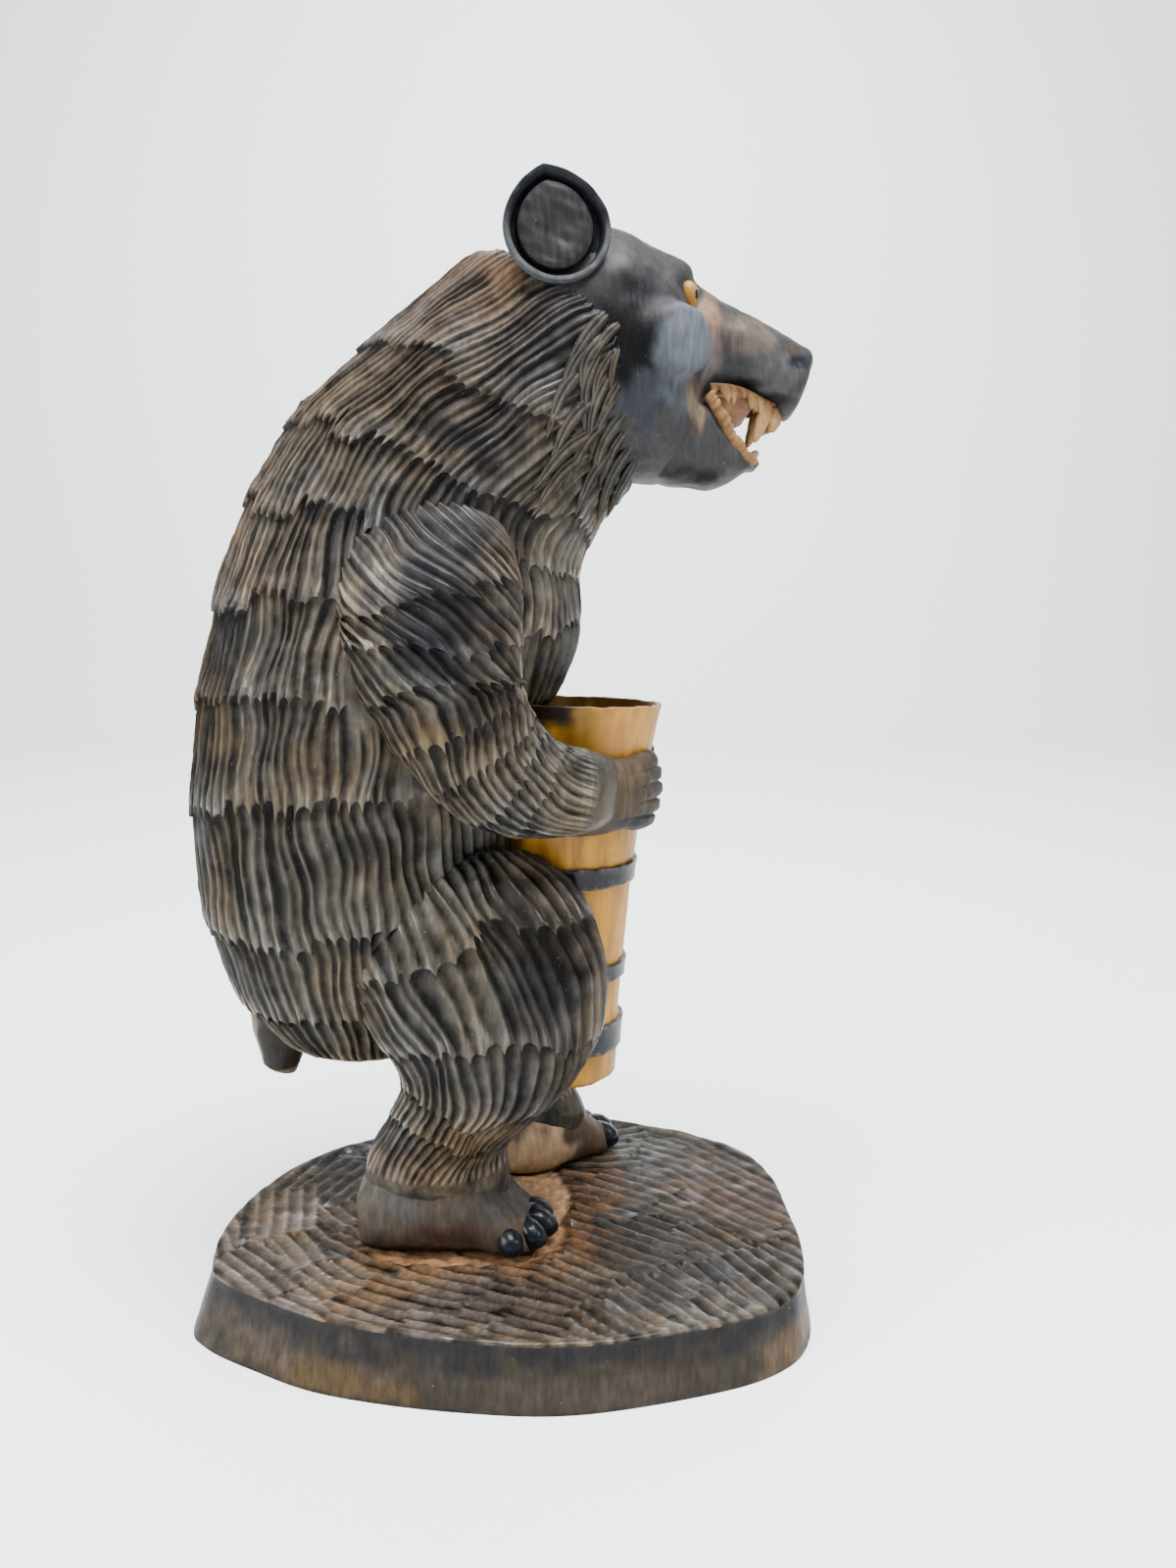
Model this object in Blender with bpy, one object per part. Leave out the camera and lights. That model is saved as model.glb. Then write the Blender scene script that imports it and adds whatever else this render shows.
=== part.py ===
"""Carved wooden bear that hugs a hooped tub, cut with its plinth from one block.

The bear stands on its hind legs and faces +X, its right side is -Y and the plinth's
underside is z = 0. It is one solid: every form below is joined into it, and the inside
of the tub is then cut out.

The bear's own forms are given in parts of its height, of which it has 282, with
heights from the plinth's top. A form is lofted on ribs. A rib is a straight bar across
the form, from its back end to its front end (or from its top to its bottom on the head
and the feet), and the form's section is an oval round that bar. A row of ribs holds:
    x and z of the first end, x and z of the other end, y of the bar, half the width
    across it, and how far the sides of the section lead the bar.
A peg is a small round form along a path, such as a finger, a claw or a tooth. Its rows
hold x, y, z and the radius there, with y towards the peg's own side.
Fur is cut in tiers along a form. Each tier's locks grow proud towards their tips and
end in a step, and the next tier starts under them, half a lock aside.
"""

import math

import bmesh
import bpy
import numpy as np

# Driving sizes in metres
BEAR_HEIGHT = 0.282          # from the plinth's top to the tip of the ears
PLINTH_LENGTH = 0.1635
PLINTH_WIDTH = 0.131
PLINTH_THICKNESS = 0.018
PLINTH_FLARE = 0.0016        # how far the foot of the plinth's side stands out
PLINTH_SPREAD = 0.0040       # and how much further at the worn right heel corner
PLINTH_BEVEL = 0.0012        # worn top edge of the plinth
TUB_RIM_RADIUS = 0.0255
TUB_FOOT_RADIUS = 0.0172
TUB_HEIGHT = 0.1060
TUB_WALL = 0.0024
TUB_FLOOR = 0.0050
TUB_EDGE = 0.0020            # rounding of the tub's bottom edge
TUB_LEAN = math.radians(1.6)
HOOP_PROUD = 0.0009
HOOP_WIDTHS = (0.0085, 0.0048, 0.0060)
FUR_LOCK = 0.0088            # width of one lock of fur
FUR_DEPTH = 0.0011           # depth of the gouge cuts between locks
FUR_STEP = 0.0010            # height of the step at the end of a tier
FUR_TIER = 0.0250            # length of one tier
GOUGE_WIDTH = 0.0096         # gouge cuts on the plinth's top
GOUGE_DEPTH = 0.0010
GOUGE_LENGTH = 0.0320

# Shares and counts
UNIT = BEAR_HEIGHT / 282.0   # one part of the bear's height
GROUND = PLINTH_THICKNESS    # height of the tables' zero
HOOP_PLACES = (0.135, 0.315, 0.580)   # middles of the hoops, as shares of the tub's height
FLARE_PLACES = (0.70, 0.80, 0.90, 1.00)   # rings of the flaring staves, as such shares
GRIP = (16.9, 130.5)         # x and height at which the paws hold the tub's middle line
GRIP_SHARE = 0.825           # share of the tub's height that lies below the grip
TUB_FLARE = 3.5              # how late the staves flare: power of the share of the height
STRIDE = 21.0                # how far the left foot is ahead of the right one
STRIDE_PLACES = (0.25, 0.85)     # places along the leg where the stride sets in and is full
SINK = 2.5                   # how deep feet reach into the plinth
GOUGED_SHARE = 0.62          # share of the plinth's half width that its gouged rim takes
GOUGE_END = 0.35             # depth left at the ends of a gouge cut, as a share of it
WORN_CORNER = (-0.6, -0.8)   # direction of the plinth's worn corner
TUB_SIDES = 24
ABOVE_RIM = 1.5              # how far above the rim the tub's hollow is cut
FLAT_ANGLE = math.radians(4.0)   # faces this close to one plane are merged

TRUNK_FUR = (0.055, 0.90)    # places along each form between which its fur is cut
ARM_FUR = (0.06, 0.86)
LEG_FUR = (0.06, 0.72)
SMOOTH_ROWS = 2              # rows of a furry form past its fur
SMOOTH_SHIN_ROWS = 3
HEAD_SQUARE = 0.85           # how boxy the sections of the head and the jaw are: 1 is oval
JAW_SQUARE = 0.75
FUR_REACH = 0.10             # how far the ridges' roots reach under the tier above, of a tier
CUT_ROOT = 0.06              # where the cuts start, as a share of their tier
RIDGE_END = 0.06             # how far the ridges end short of the next tier's line
CUT_END = 0.24               # and the cuts

TRUNK = (
    (4, 256, 30, 222, 0, 18, 10),
    (-6, 266, 37, 209, 0, 29.5, 15),
    (-20, 256.5, 35, 204, 0, 31.5, 9),
    (-33, 246, 31, 199, 0, 34, 4),
    (-46, 235, 26, 191, 0, 36.5, 0),
    (-58, 222, 21.5, 183, 0, 38, 0),
    (-67.5, 206, 19.5, 173, 0, 39.5, 0),
    (-75, 189, 19, 164, 0, 40, 0),
    (-79.5, 172, 15, 153, 0, 40, 0),
    (-83.5, 155, 9, 142, 0, 40, 0),
    (-86, 137, 6, 130, 0, 40.5, 0),
    (-87, 120, 5, 115, 0, 41, 0),
    (-86, 101, 4, 99, 0, 40.5, 0),
    (-82.5, 84, 1, 84, 0, 38, 0),
    (-76.5, 69, -5, 70, 0, 33, 0),
    (-66, 57, -14, 58, 0, 26, 0),
    (-54, 51, -24, 52, 0, 15, 0),
)
PLINTH_OUTLINE = (
    (1.00, 0.00), (0.97, 0.36), (0.86, 0.63), (0.60, 0.84), (0.21, 0.99), (-0.20, 0.92),
    (-0.57, 0.74), (-0.80, 0.52), (-0.94, 0.21), (-1.00, -0.14), (-0.975, -0.45),
    (-0.90, -0.58), (-0.74, -0.71), (-0.50, -0.86), (-0.13, -0.97), (0.24, -1.00),
    (0.66, -0.88), (0.88, -0.74), (0.98, -0.55), (1.01, -0.26),
)
HEAD = (
    (-2, 254, 4, 222, 0, 15, 0),
    (6, 266, 14, 211.5, 0, 25, 0),
    (18, 272, 24, 209, 0, 28.5, 0),
    (30, 272.3, 34, 208.5, 0, 28.5, 0),
    (39, 268.8, 42, 208.5, 0, 25.5, 0),
    (46, 264.6, 48, 213, 0, 21, 0),
    (50.5, 258, 53, 228, 0, 17.2, 0),
    (60, 252.6, 61, 231.3, 0, 14.5, 0),
    (69, 248.2, 69, 229, 0, 12.6, 0),
    (76, 244.5, 74.5, 226.8, 0, 10.6, 0),
    (79.7, 242, 78, 231, 0, 8, 0),
    (81, 239.5, 79.5, 234, 0, 4, 0),
)
JAW = (
    (34, 226, 34, 212, 0, 14, 0),
    (45, 231, 42, 208, 0, 16.5, 0),
    (53, 231, 49, 207.3, 0, 15, 0),
    (58, 225, 54, 206.6, 0, 13, 0),
    (62, 219.5, 59.5, 208.3, 0, 11, 0),
    (65.3, 215, 63.8, 211, 0, 8.2, 0),
    (67.2, 213, 66.5, 211.5, 0, 5, 0),
)
ARM = (
    (-26, 201, -8, 202, 30, 6, 0),
    (-36, 192, 3, 195, 34, 10, 0),
    (-38.5, 178, 7, 181, 36, 12, 0),
    (-37, 164, 7, 168, 37, 12.5, 0),
    (-31.5, 151, 7, 159, 37.5, 12, 0),
    (-22, 137, 9.5, 152, 37.5, 11.5, 0),
    (-9, 124, 13.5, 146, 36.5, 10.5, 0),
    (6, 119, 18, 143, 34, 9.5, 0),
    (20, 119.5, 23, 141.5, 31, 7.5, 0),
    (27, 120, 27.5, 141, 28, 6, 0),
)
LEG = (
    (-41, 104, 8, 112, 17, 12, 0),
    (-45, 92, 20, 104, 23, 15.5, 0),
    (-43.5, 80, 26, 92, 25.5, 17.5, 0),
    (-38, 69, 28, 80, 26.5, 18, 0),
    (-31, 59, 26.5, 66, 26.5, 17.2, 0),
    (-28, 52, 20, 53, 25.5, 15.5, 0),
    (-29.5, 45, 11.5, 43, 24, 14, 0),
    (-32, 37, 4, 35, 22, 13, 0),
    (-35.5, 28, 0.5, 28, 20.5, 12.5, 0),
    (-38, 18, 2, 20, 20, 13, 0),
    (-38.5, 8, 5, 12, 20, 13.5, 0),
    (-36, -SINK, 8, -SINK, 20, 12.5, 0),
)
FOOT = (
    (-24, 20, -24, -SINK, 20, 12, 0),
    (-6, 22, -6, -SINK, 20, 13.5, 0),
    (3, 18.5, 3, -SINK, 20, 14, 0),
    (9, 12.5, 9, -SINK, 20, 13.5, 0),
    (12.5, 7, 12.5, -SINK, 20, 11, 0),
)
TAIL = (
    (-72, 78, -52, 72, 0, 7, 0),
    (-74, 62, -57, 55, 0, 6.5, 0),
    (-71, 47, -61.5, 43.2, 0, 5.5, 0),
)
EYE = ((43.5, 12.5, 255.5, 2.2), (45.5, 13.6, 255.5, 3.0), (48, 14.8, 255.5, 2.6),
       (49.5, 15.6, 255.5, 1.2))
UPPER_CANINE = ((64.5, 8.5, 233, 2.4), (65.5, 8.8, 225.5, 1.9), (66.2, 8.6, 219, 0.5))
LOWER_CANINE = ((62.5, 7.2, 213.5, 2.2), (65, 7.2, 217.5, 1.7), (67.2, 7, 221.5, 0.5))
CHEEK_TOOTH = ((52.4, 10.6, 226.5, 2.3), (55.2, 10.6, 228.8, 1.7), (56.8, 10.6, 230.2, 0.6))
CHEEK_TEETH = 3              # on each side
CHEEK_PITCH = (3.6, -1.2, -5.2, 0)   # from one cheek tooth to the next
INCISOR = ((73.2, 1.9, 230.5, 2.1), (72.8, 1.9, 225.5, 1.7), (72.4, 1.9, 222.9, 0.9))
INCISORS = 2
INCISOR_PITCH = (-1, 3.6, 0, 0)

# Ears: a pointed oval, drawn as rings from the middle of its open face to its back
EAR_HEART = (14.6, 24.5, 266.8)
EAR_HALF = (12.9, 14.3)      # half its width and half its height
EAR_POINT = 0.07             # how far its top is drawn out
EAR_FACING = (0.16, 0.96, 0.12)
EAR_RINGS = (                # share of the oval, and height of the ring above it
    (0.20, 0.9), (0.52, 1.1), (0.62, -1.6), (0.76, -1.9), (0.88, 1.7), (0.96, 1.9),
    (1.0, 0.2), (0.86, -3.2), (0.5, -5.6), (0.15, -6.2),
)
EAR_SIDES = 16

# Paws: a palm and five fingers bent round the tub, in degrees from straight ahead
PALM_ARC = (100, 42)         # from the wrist to the knuckles
PALM_HALF = (5.2, 10.6)      # half its thickness and half its height
PALM_SWELL = 1.6             # how much thicker the wrist is
PALM_PROUD = 1.2             # how far the palm's middle stands off the tub
PALM_RINGS, PALM_SIDES = 5, 10
FINGERS = 5
FINGER_TOP = 8.6             # height of the first finger above the grip
FINGER_PITCH = 4.3
FINGER_BENDS = ((52, 2.8, 2.3), (36, 3.4, 2.4))   # degrees, how proud, and radius
FINGER_END = 13              # degrees where the longest finger ends
LONGEST_FINGER = 1.6         # counted from 0 at the top
FINGER_SPREAD = 2.6          # degrees by which its neighbours fall short
FINGER_TIP = ((6, 3.2, 2.2), (0, 2.0, 1.3))   # degrees before the end, how proud, radius

# Claws: pegs round the front of a foot, in degrees outwards from straight ahead
CLAW_HEART = (2.5, 20)
CLAW_TURNS = (72, 40, 8, -26)
CLAW_ROUTE = ((8.5, 8.5, 2.2), (11.5, 7.5, 2.6), (14, 4, 2.3), (15, -SINK, 1.6))


def flow(stations, place):
    """Rows of the table at places 0 to 1, on a smooth cubic through every row."""
    stations = np.asarray(stations, float)
    last = len(stations) - 1
    slope = np.gradient(stations, axis=0)
    at = np.clip(place, 0.0, 1.0) * last
    index = np.minimum(at.astype(int), last - 1)
    f = (at - index)[..., None]
    start, end = stations[index], stations[index + 1]
    return (
        (2 * f**3 - 3 * f**2 + 1) * start
        + (f**3 - 2 * f**2 + f) * slope[index]
        + (3 * f**2 - 2 * f**3) * end
        + (f**3 - f**2) * slope[index + 1]
    )


def rounded(wave, square):
    """Sine or cosine raised to the power square, with its sign: below 1 is boxier."""
    return np.sign(wave) * np.abs(wave) ** square


def skin(ribs, place, turn, side=1.0, shift=0.0, square=1.0):
    """Points of a form at the places along it and the angles round it, in metres.

    A point is the bar's middle + cos(turn) half the bar + sin(turn) the half width,
    set square to the bar and to the form's run; side mirrors the form in y, and shift
    moves it in x.
    """

    def middle(v):
        x0, z0, x1, z1, y = np.moveaxis(flow(ribs, v), -1, 0)[:5]
        return np.stack([(x0 + x1) / 2 + shift, y * side, (z0 + z1) / 2], -1)

    x0, z0, x1, z1, y, width, lead = np.moveaxis(flow(ribs, place), -1, 0)
    bar = np.stack([x1 - x0, np.zeros_like(y), z1 - z0], -1) / 2
    run = middle(place + 1e-3) - middle(place - 1e-3)
    run /= np.linalg.norm(run, axis=-1, keepdims=True)
    across = np.cross(bar, run)
    across /= np.linalg.norm(across, axis=-1, keepdims=True)
    c = rounded(np.cos(turn), square)[..., None]
    s = rounded(np.sin(turn), square)[..., None]
    points = middle(place) + c * bar + s * across * width[..., None]
    points -= run * (lead[..., None] * s**2)
    return points * UNIT + np.array([0.0, 0.0, GROUND])


def grid_object(name, grid):
    """Closed solid from rings of points: quads between the rings and a fan at each end."""
    rows, columns = grid.shape[:2]
    ends = np.stack([grid[0].mean(axis=0), grid[-1].mean(axis=0)])
    points = np.vstack([grid.reshape(-1, 3), ends])
    i, j = np.meshgrid(np.arange(rows - 1), np.arange(columns), indexing="ij")
    k = (j + 1) % columns
    quads = np.stack([i * columns + j, i * columns + k, (i + 1) * columns + k,
                      (i + 1) * columns + j], -1).reshape(-1, 4)
    around = np.arange(columns)
    following = (around + 1) % columns
    first, last = rows * columns, rows * columns + 1
    base = (rows - 1) * columns
    fans = [(first, int(b), int(a)) for a, b in zip(around, following)]
    fans += [(last, int(base + a), int(base + b)) for a, b in zip(around, following)]
    mesh = bpy.data.meshes.new(name)
    mesh.from_pydata(points.tolist(), [], quads.tolist() + fans)
    finish_mesh(mesh)
    return add_object(name, mesh)


def finish_mesh(mesh):
    """Triangles only, with the faces of the closed shell turned outwards."""
    work = bmesh.new()
    work.from_mesh(mesh)
    bmesh.ops.triangulate(work, faces=work.faces[:])
    bmesh.ops.recalc_face_normals(work, faces=work.faces[:])
    if work.calc_volume(signed=True) < 0:
        bmesh.ops.reverse_faces(work, faces=work.faces[:])
    work.to_mesh(mesh)
    work.free()


def add_object(name, mesh):
    """Object of that mesh in the scene."""
    made = bpy.data.objects.new(name, mesh)
    bpy.context.scene.collection.objects.link(made)
    return made


def outward(grid):
    """Unit normals of a grid of rings, pointing away from the rings' middles."""
    across = np.roll(grid, -1, axis=1) - np.roll(grid, 1, axis=1)
    along = np.gradient(grid, axis=0)
    normal = np.cross(across, along)
    normal /= np.linalg.norm(normal, axis=-1, keepdims=True) + 1e-12
    away = grid - grid.mean(axis=1, keepdims=True)
    return normal * np.sign((normal * away).sum())


def even_turns(ribs, count):
    """Angles that space count points evenly round the form's middle section."""
    x0, z0, x1, z1, _, width, _ = ribs[len(ribs) // 2]
    half_bar = math.hypot(x1 - x0, z1 - z0) / 2
    fine = np.linspace(0.0, 2 * math.pi, 721)
    step = np.hypot(half_bar * np.sin(fine), width * np.cos(fine))
    length = np.concatenate([[0.0], np.cumsum((step[1:] + step[:-1]) / 2)])
    return np.interp(np.arange(count) / count, length / length[-1], fine)


def girth(ribs):
    """Way round the form's middle section, in metres."""
    x0, z0, x1, z1, _, width, _ = ribs[len(ribs) // 2]
    half_bar = math.hypot(x1 - x0, z1 - z0) / 2
    return math.pi * (half_bar + width) * UNIT


def smooth_form(name, ribs, rows, columns, side=1.0, shift=0.0, square=1.0):
    """Plain lofted form, for skin that the carver left smooth."""
    place, turn = np.meshgrid(np.linspace(0, 1, rows), even_turns(ribs, columns), indexing="ij")
    return grid_object(name, skin(ribs, place, turn, side, shift, square))


def tier_places(ribs, first, last):
    """Places where the tiers of fur start and end, evenly spaced along the form's back."""
    fine = np.linspace(first, last, 200)
    back = skin(ribs, fine, np.full_like(fine, math.pi))
    length = np.concatenate([[0.0], np.cumsum(np.linalg.norm(np.diff(back, axis=0), axis=1))])
    count = max(1, round(length[-1] / FUR_TIER))
    return np.interp(np.linspace(0, length[-1], count + 1), length, fine)


def furry_form(name, ribs, fur, smooth_rows=SMOOTH_ROWS, side=1.0, stride=0.0):
    """Lofted form with tiers of fur between two places, and smooth rows beyond them.

    A stride moves its lower part forwards.
    Even and odd columns are the ridges and the cuts in turn. A tier has one row where
    its locks start, sunk by the step, and one where they end, with the ridges proud and
    drawn out and the cuts deep and short, so that its edge runs in a zigzag.
    """
    columns = 2 * max(3, round(girth(ribs) / FUR_LOCK))
    turn = even_turns(ribs, columns)
    places = tier_places(ribs, *fur)
    parity = np.arange(columns) % 2
    rows, drops = [np.zeros(columns)], [np.zeros(columns)]
    for tier, (start, end) in enumerate(zip(places[:-1], places[1:])):
        ridge = (parity + tier) % 2 == 0
        span = end - start
        rows.append(start + span * np.where(ridge, -FUR_REACH, CUT_ROOT))
        drops.append(FUR_STEP + np.where(ridge, 0.0, FUR_DEPTH / 2))
        rows.append(end - span * np.where(ridge, RIDGE_END, CUT_END))
        drops.append(np.where(ridge, 0.0, FUR_DEPTH))
    for place in np.linspace(places[-1], 1.0, smooth_rows + 1)[1:]:
        rows.append(np.full(columns, place))
        drops.append(np.full(columns, FUR_STEP / 2))
    place = np.clip(np.array(rows), 0.0, 1.0)
    move = stride * np.interp(place, STRIDE_PLACES, (0.0, 1.0))
    grid = skin(ribs, place, np.broadcast_to(turn, place.shape), side, move)
    grid = grid - outward(grid) * np.array(drops)[..., None]
    return grid_object(name, grid)


def plinth():
    """Board with a hand-cut outline, flared sides and a gouged top.

    The outline is a smooth closed curve through shares of half the length and half the
    width. Inside its edge, rings of short gouge cuts run along it, each set half a cut
    aside, down to a bare middle under the feet.
    """
    girth_top = math.pi * (PLINTH_LENGTH + PLINTH_WIDTH) / 2
    columns = 4 * round(girth_top / GOUGE_LENGTH)
    shares = PLINTH_OUTLINE[-3:] + PLINTH_OUTLINE + PLINTH_OUTLINE[:4]
    span = (np.arange(columns) / columns * len(PLINTH_OUTLINE) + 3) / (len(shares) - 1)
    half = np.array([PLINTH_LENGTH, PLINTH_WIDTH]) / 2
    edge = flow(shares, span) * half
    corner = edge @ np.array(WORN_CORNER) / half.max()
    spread = PLINTH_FLARE + PLINTH_SPREAD * np.clip(corner, 0, 1) ** 3

    def ring(outset, height):
        flat = edge * (1 + np.broadcast_to(outset, columns) / half.min())[:, None]
        return np.column_stack([flat, np.broadcast_to(height, columns)])

    rows = [ring(spread, 0.0), ring(0.0, PLINTH_THICKNESS - PLINTH_BEVEL),
            ring(-PLINTH_BEVEL, PLINTH_THICKNESS)]
    rings = round(GOUGED_SHARE * half.min() / (GOUGE_WIDTH / 2))
    for step in range(1, rings):
        inward = PLINTH_BEVEL + step * GOUGE_WIDTH / 2
        share = (np.arange(columns) // 2 + step // 2) % 2
        depth = GOUGE_DEPTH * (step % 2) * np.where(share == 0, 1.0, GOUGE_END)
        rows.append(ring(-inward, PLINTH_THICKNESS - depth))
    return grid_object("plinth", np.array(rows))


def tub_axis():
    """Foot of the tub's middle line and its direction: it passes the paws' grip."""
    direction = np.array([math.sin(TUB_LEAN), 0.0, math.cos(TUB_LEAN)])
    grip = np.array([GRIP[0] * UNIT, 0.0, GROUND + GRIP[1] * UNIT])
    return grip - direction * TUB_HEIGHT * GRIP_SHARE, direction


def tub_radius(height):
    """Outer radius of the tub's staves at a height above its foot."""
    share = max(height, 0.0) / TUB_HEIGHT
    return TUB_FOOT_RADIUS + (TUB_RIM_RADIUS - TUB_FOOT_RADIUS) * share**TUB_FLARE


def turned(name, profile, columns):
    """Solid turned round the tub's middle line from (radius, height) pairs."""
    foot, direction = tub_axis()
    ahead = np.array([direction[2], 0.0, -direction[0]])
    aside = np.array([0.0, 1.0, 0.0])
    turn = np.arange(columns) * 2 * math.pi / columns
    radius, height = np.array(profile).T
    grid = (foot + height[:, None, None] * direction
            + radius[:, None, None] * (np.cos(turn)[None, :, None] * ahead
                                       + np.sin(turn)[None, :, None] * aside))
    return grid_object(name, grid)


def tub_body():
    """Outer form of the tub: staves that flare towards the rim, with three raised hoops."""
    profile = [(TUB_FOOT_RADIUS - TUB_EDGE, 0.0),
               (tub_radius(TUB_EDGE), TUB_EDGE)]
    for width, place in zip(HOOP_WIDTHS, HOOP_PLACES):
        low, high = place * TUB_HEIGHT - width / 2, place * TUB_HEIGHT + width / 2
        ease = HOOP_PROUD / 3
        profile += [(tub_radius(low), low), (tub_radius(low) + HOOP_PROUD, low + ease),
                    (tub_radius(high) + HOOP_PROUD, high - ease), (tub_radius(high), high)]
    profile += [(tub_radius(share * TUB_HEIGHT), share * TUB_HEIGHT)
                for share in FLARE_PLACES]
    return turned("tub_body", profile, TUB_SIDES)


def tub_hollow():
    """Cutter for the inside of the tub, down to its floor."""
    heights = [TUB_FLOOR] + [share * TUB_HEIGHT for share in (0.45,) + FLARE_PLACES]
    profile = [(tub_radius(height) - TUB_WALL, height) for height in heights]
    profile.append((profile[-1][0], TUB_HEIGHT + ABOVE_RIM * UNIT))
    return turned("tub_hollow", profile, TUB_SIDES)


def peg(name, route, radii, columns=5):
    """Small tapering form along a path of points, with its rings square to the path."""
    points, radii = np.array(route, float), np.array(radii, float) * UNIT
    run = np.gradient(points, axis=0)
    run /= np.linalg.norm(run, axis=1, keepdims=True)
    first = np.cross(run, [0.0, 0.0, 1.0]) + 1e-9
    first /= np.linalg.norm(first, axis=1, keepdims=True)
    second = np.cross(run, first)
    turn = np.arange(columns) * 2 * math.pi / columns
    grid = points[:, None] + radii[:, None, None] * (
        np.cos(turn)[None, :, None] * first[:, None]
        + np.sin(turn)[None, :, None] * second[:, None])
    return grid_object(name, grid)


def placed(x, y, z):
    """Place in metres from parts of the bear's height above the plinth."""
    return np.array([x * UNIT, y * UNIT, GROUND + z * UNIT])


def toward(degrees, side):
    """Level direction so many degrees from straight ahead towards that side."""
    angle = math.radians(degrees)
    return np.array([math.cos(angle), side * math.sin(angle), 0.0])


def paw(name, side):
    """Palm and five blunt fingers that lie round the tub's outside."""
    foot, direction = tub_axis()
    height = TUB_HEIGHT * GRIP_SHARE
    grip, radius = foot + direction * height, tub_radius(height)
    upward = np.array([0.0, 0.0, 1.0])

    def round_tub(degrees, proud, rise=0.0):
        return grip + toward(degrees, side) * (radius + proud * UNIT) + upward * rise * UNIT

    turn = np.arange(PALM_SIDES) * 2 * math.pi / PALM_SIDES
    rings = []
    for degrees in np.linspace(*PALM_ARC, PALM_RINGS):
        thick = PALM_HALF[0] + PALM_SWELL * math.sin(math.radians(degrees))
        rings.append(round_tub(degrees, PALM_PROUD)
                     + np.outer(np.cos(turn), toward(degrees, side)) * thick * UNIT
                     + np.outer(np.sin(turn), upward) * PALM_HALF[1] * UNIT)
    forms = [grid_object(name + "_palm", np.array(rings))]
    for finger in range(FINGERS):
        rise = FINGER_TOP - FINGER_PITCH * finger
        end = FINGER_END + FINGER_SPREAD * abs(finger - LONGEST_FINGER) ** 1.5
        bends = FINGER_BENDS + tuple((end + short, proud, thick)
                                     for short, proud, thick in FINGER_TIP)
        route = [round_tub(degrees, proud, rise) for degrees, proud, _ in bends]
        forms.append(peg(f"{name}_finger_{finger}", route, [bend[2] for bend in bends]))
    return forms


def claws(name, side, shift):
    """Four thick claws round the front of a foot."""
    heart = placed(CLAW_HEART[0] + shift, side * CLAW_HEART[1], 0.0)
    forms = []
    for claw, degrees in enumerate(CLAW_TURNS):
        route = [heart + (toward(degrees, side) * reach + np.array([0, 0, rise])) * UNIT
                 for reach, rise, _ in CLAW_ROUTE]
        forms.append(peg(f"{name}_claw_{claw}", route, [row[2] for row in CLAW_ROUTE]))
    return forms


def ear(name, side):
    """Standing oval ear, its open side cut with a groove round a raised oval."""
    turn = np.arange(EAR_SIDES) * 2 * math.pi / EAR_SIDES
    point = 1 + EAR_POINT * np.clip(np.sin(turn), 0, 1) ** 6
    out = np.array(EAR_FACING) * (1, side, 1)
    out /= np.linalg.norm(out)
    upward = np.array([0.0, 0.0, 1.0]) - out * out[2]
    upward /= np.linalg.norm(upward)
    ahead = np.cross(upward, out) * -side
    oval = (np.outer(np.cos(turn) * point * EAR_HALF[0], ahead)
            + np.outer(np.sin(turn) * point * EAR_HALF[1], upward))
    heart = placed(EAR_HEART[0], side * EAR_HEART[1], EAR_HEART[2])
    rings = [heart + UNIT * (oval * share + out * rise) for share, rise in EAR_RINGS]
    return grid_object(name, np.array(rings))


def face_peg(name, rows, side, columns=5):
    """Peg of the face from its rows of x, y, z and radius, on one side."""
    rows = np.array(rows, float)
    route = [placed(x, side * y, z) for x, y, z in rows[:, :3]]
    return peg(name, route, rows[:, 3], columns)


def face():
    """Eyes, and the teeth in the open mouth."""
    forms = []
    for side, word in ((-1, "right"), (1, "left")):
        forms.append(face_peg(f"eye_{word}", EYE, side, 8))
        forms.append(face_peg(f"upper_canine_{word}", UPPER_CANINE, side))
        forms.append(face_peg(f"lower_canine_{word}", LOWER_CANINE, side))
        for tooth in range(CHEEK_TEETH):
            rows = np.array(CHEEK_TOOTH) + tooth * np.array(CHEEK_PITCH)
            forms.append(face_peg(f"cheek_tooth_{word}_{tooth}", rows, side))
        for tooth in range(INCISORS):
            rows = np.array(INCISOR) + tooth * np.array(INCISOR_PITCH)
            forms.append(face_peg(f"incisor_{word}_{tooth}", rows, side))
    return forms


def wood():
    """Dark stained and varnished wood."""
    made = bpy.data.materials.new("stained_wood")
    made.use_nodes = True
    shader = made.node_tree.nodes["Principled BSDF"]
    shader.inputs["Base Color"].default_value = (0.075, 0.055, 0.040, 1.0)
    shader.inputs["Roughness"].default_value = 0.42
    shader.inputs["Metallic"].default_value = 0.0
    return made


def join(body, operation, forms):
    """Boolean of the body with all forms at once; the forms stay as hidden guides."""
    group = bpy.data.collections.new(operation.lower() + "_forms")
    bpy.context.scene.collection.children.link(group)
    for form in forms:
        bpy.context.scene.collection.objects.unlink(form)
        group.objects.link(form)
        form.hide_render = True
        form.display_type = "WIRE"
    step = body.modifiers.new(operation.lower(), "BOOLEAN")
    step.operand_type = "COLLECTION"
    step.collection = group
    step.operation = operation
    step.solver = "EXACT"


def merge_flat_faces(body):
    """Dissolve the cuts that the joining left across flat faces."""
    step = body.modifiers.new("merge_flat_faces", "DECIMATE")
    step.decimate_type = "DISSOLVE"
    step.angle_limit = FLAT_ANGLE


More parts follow.
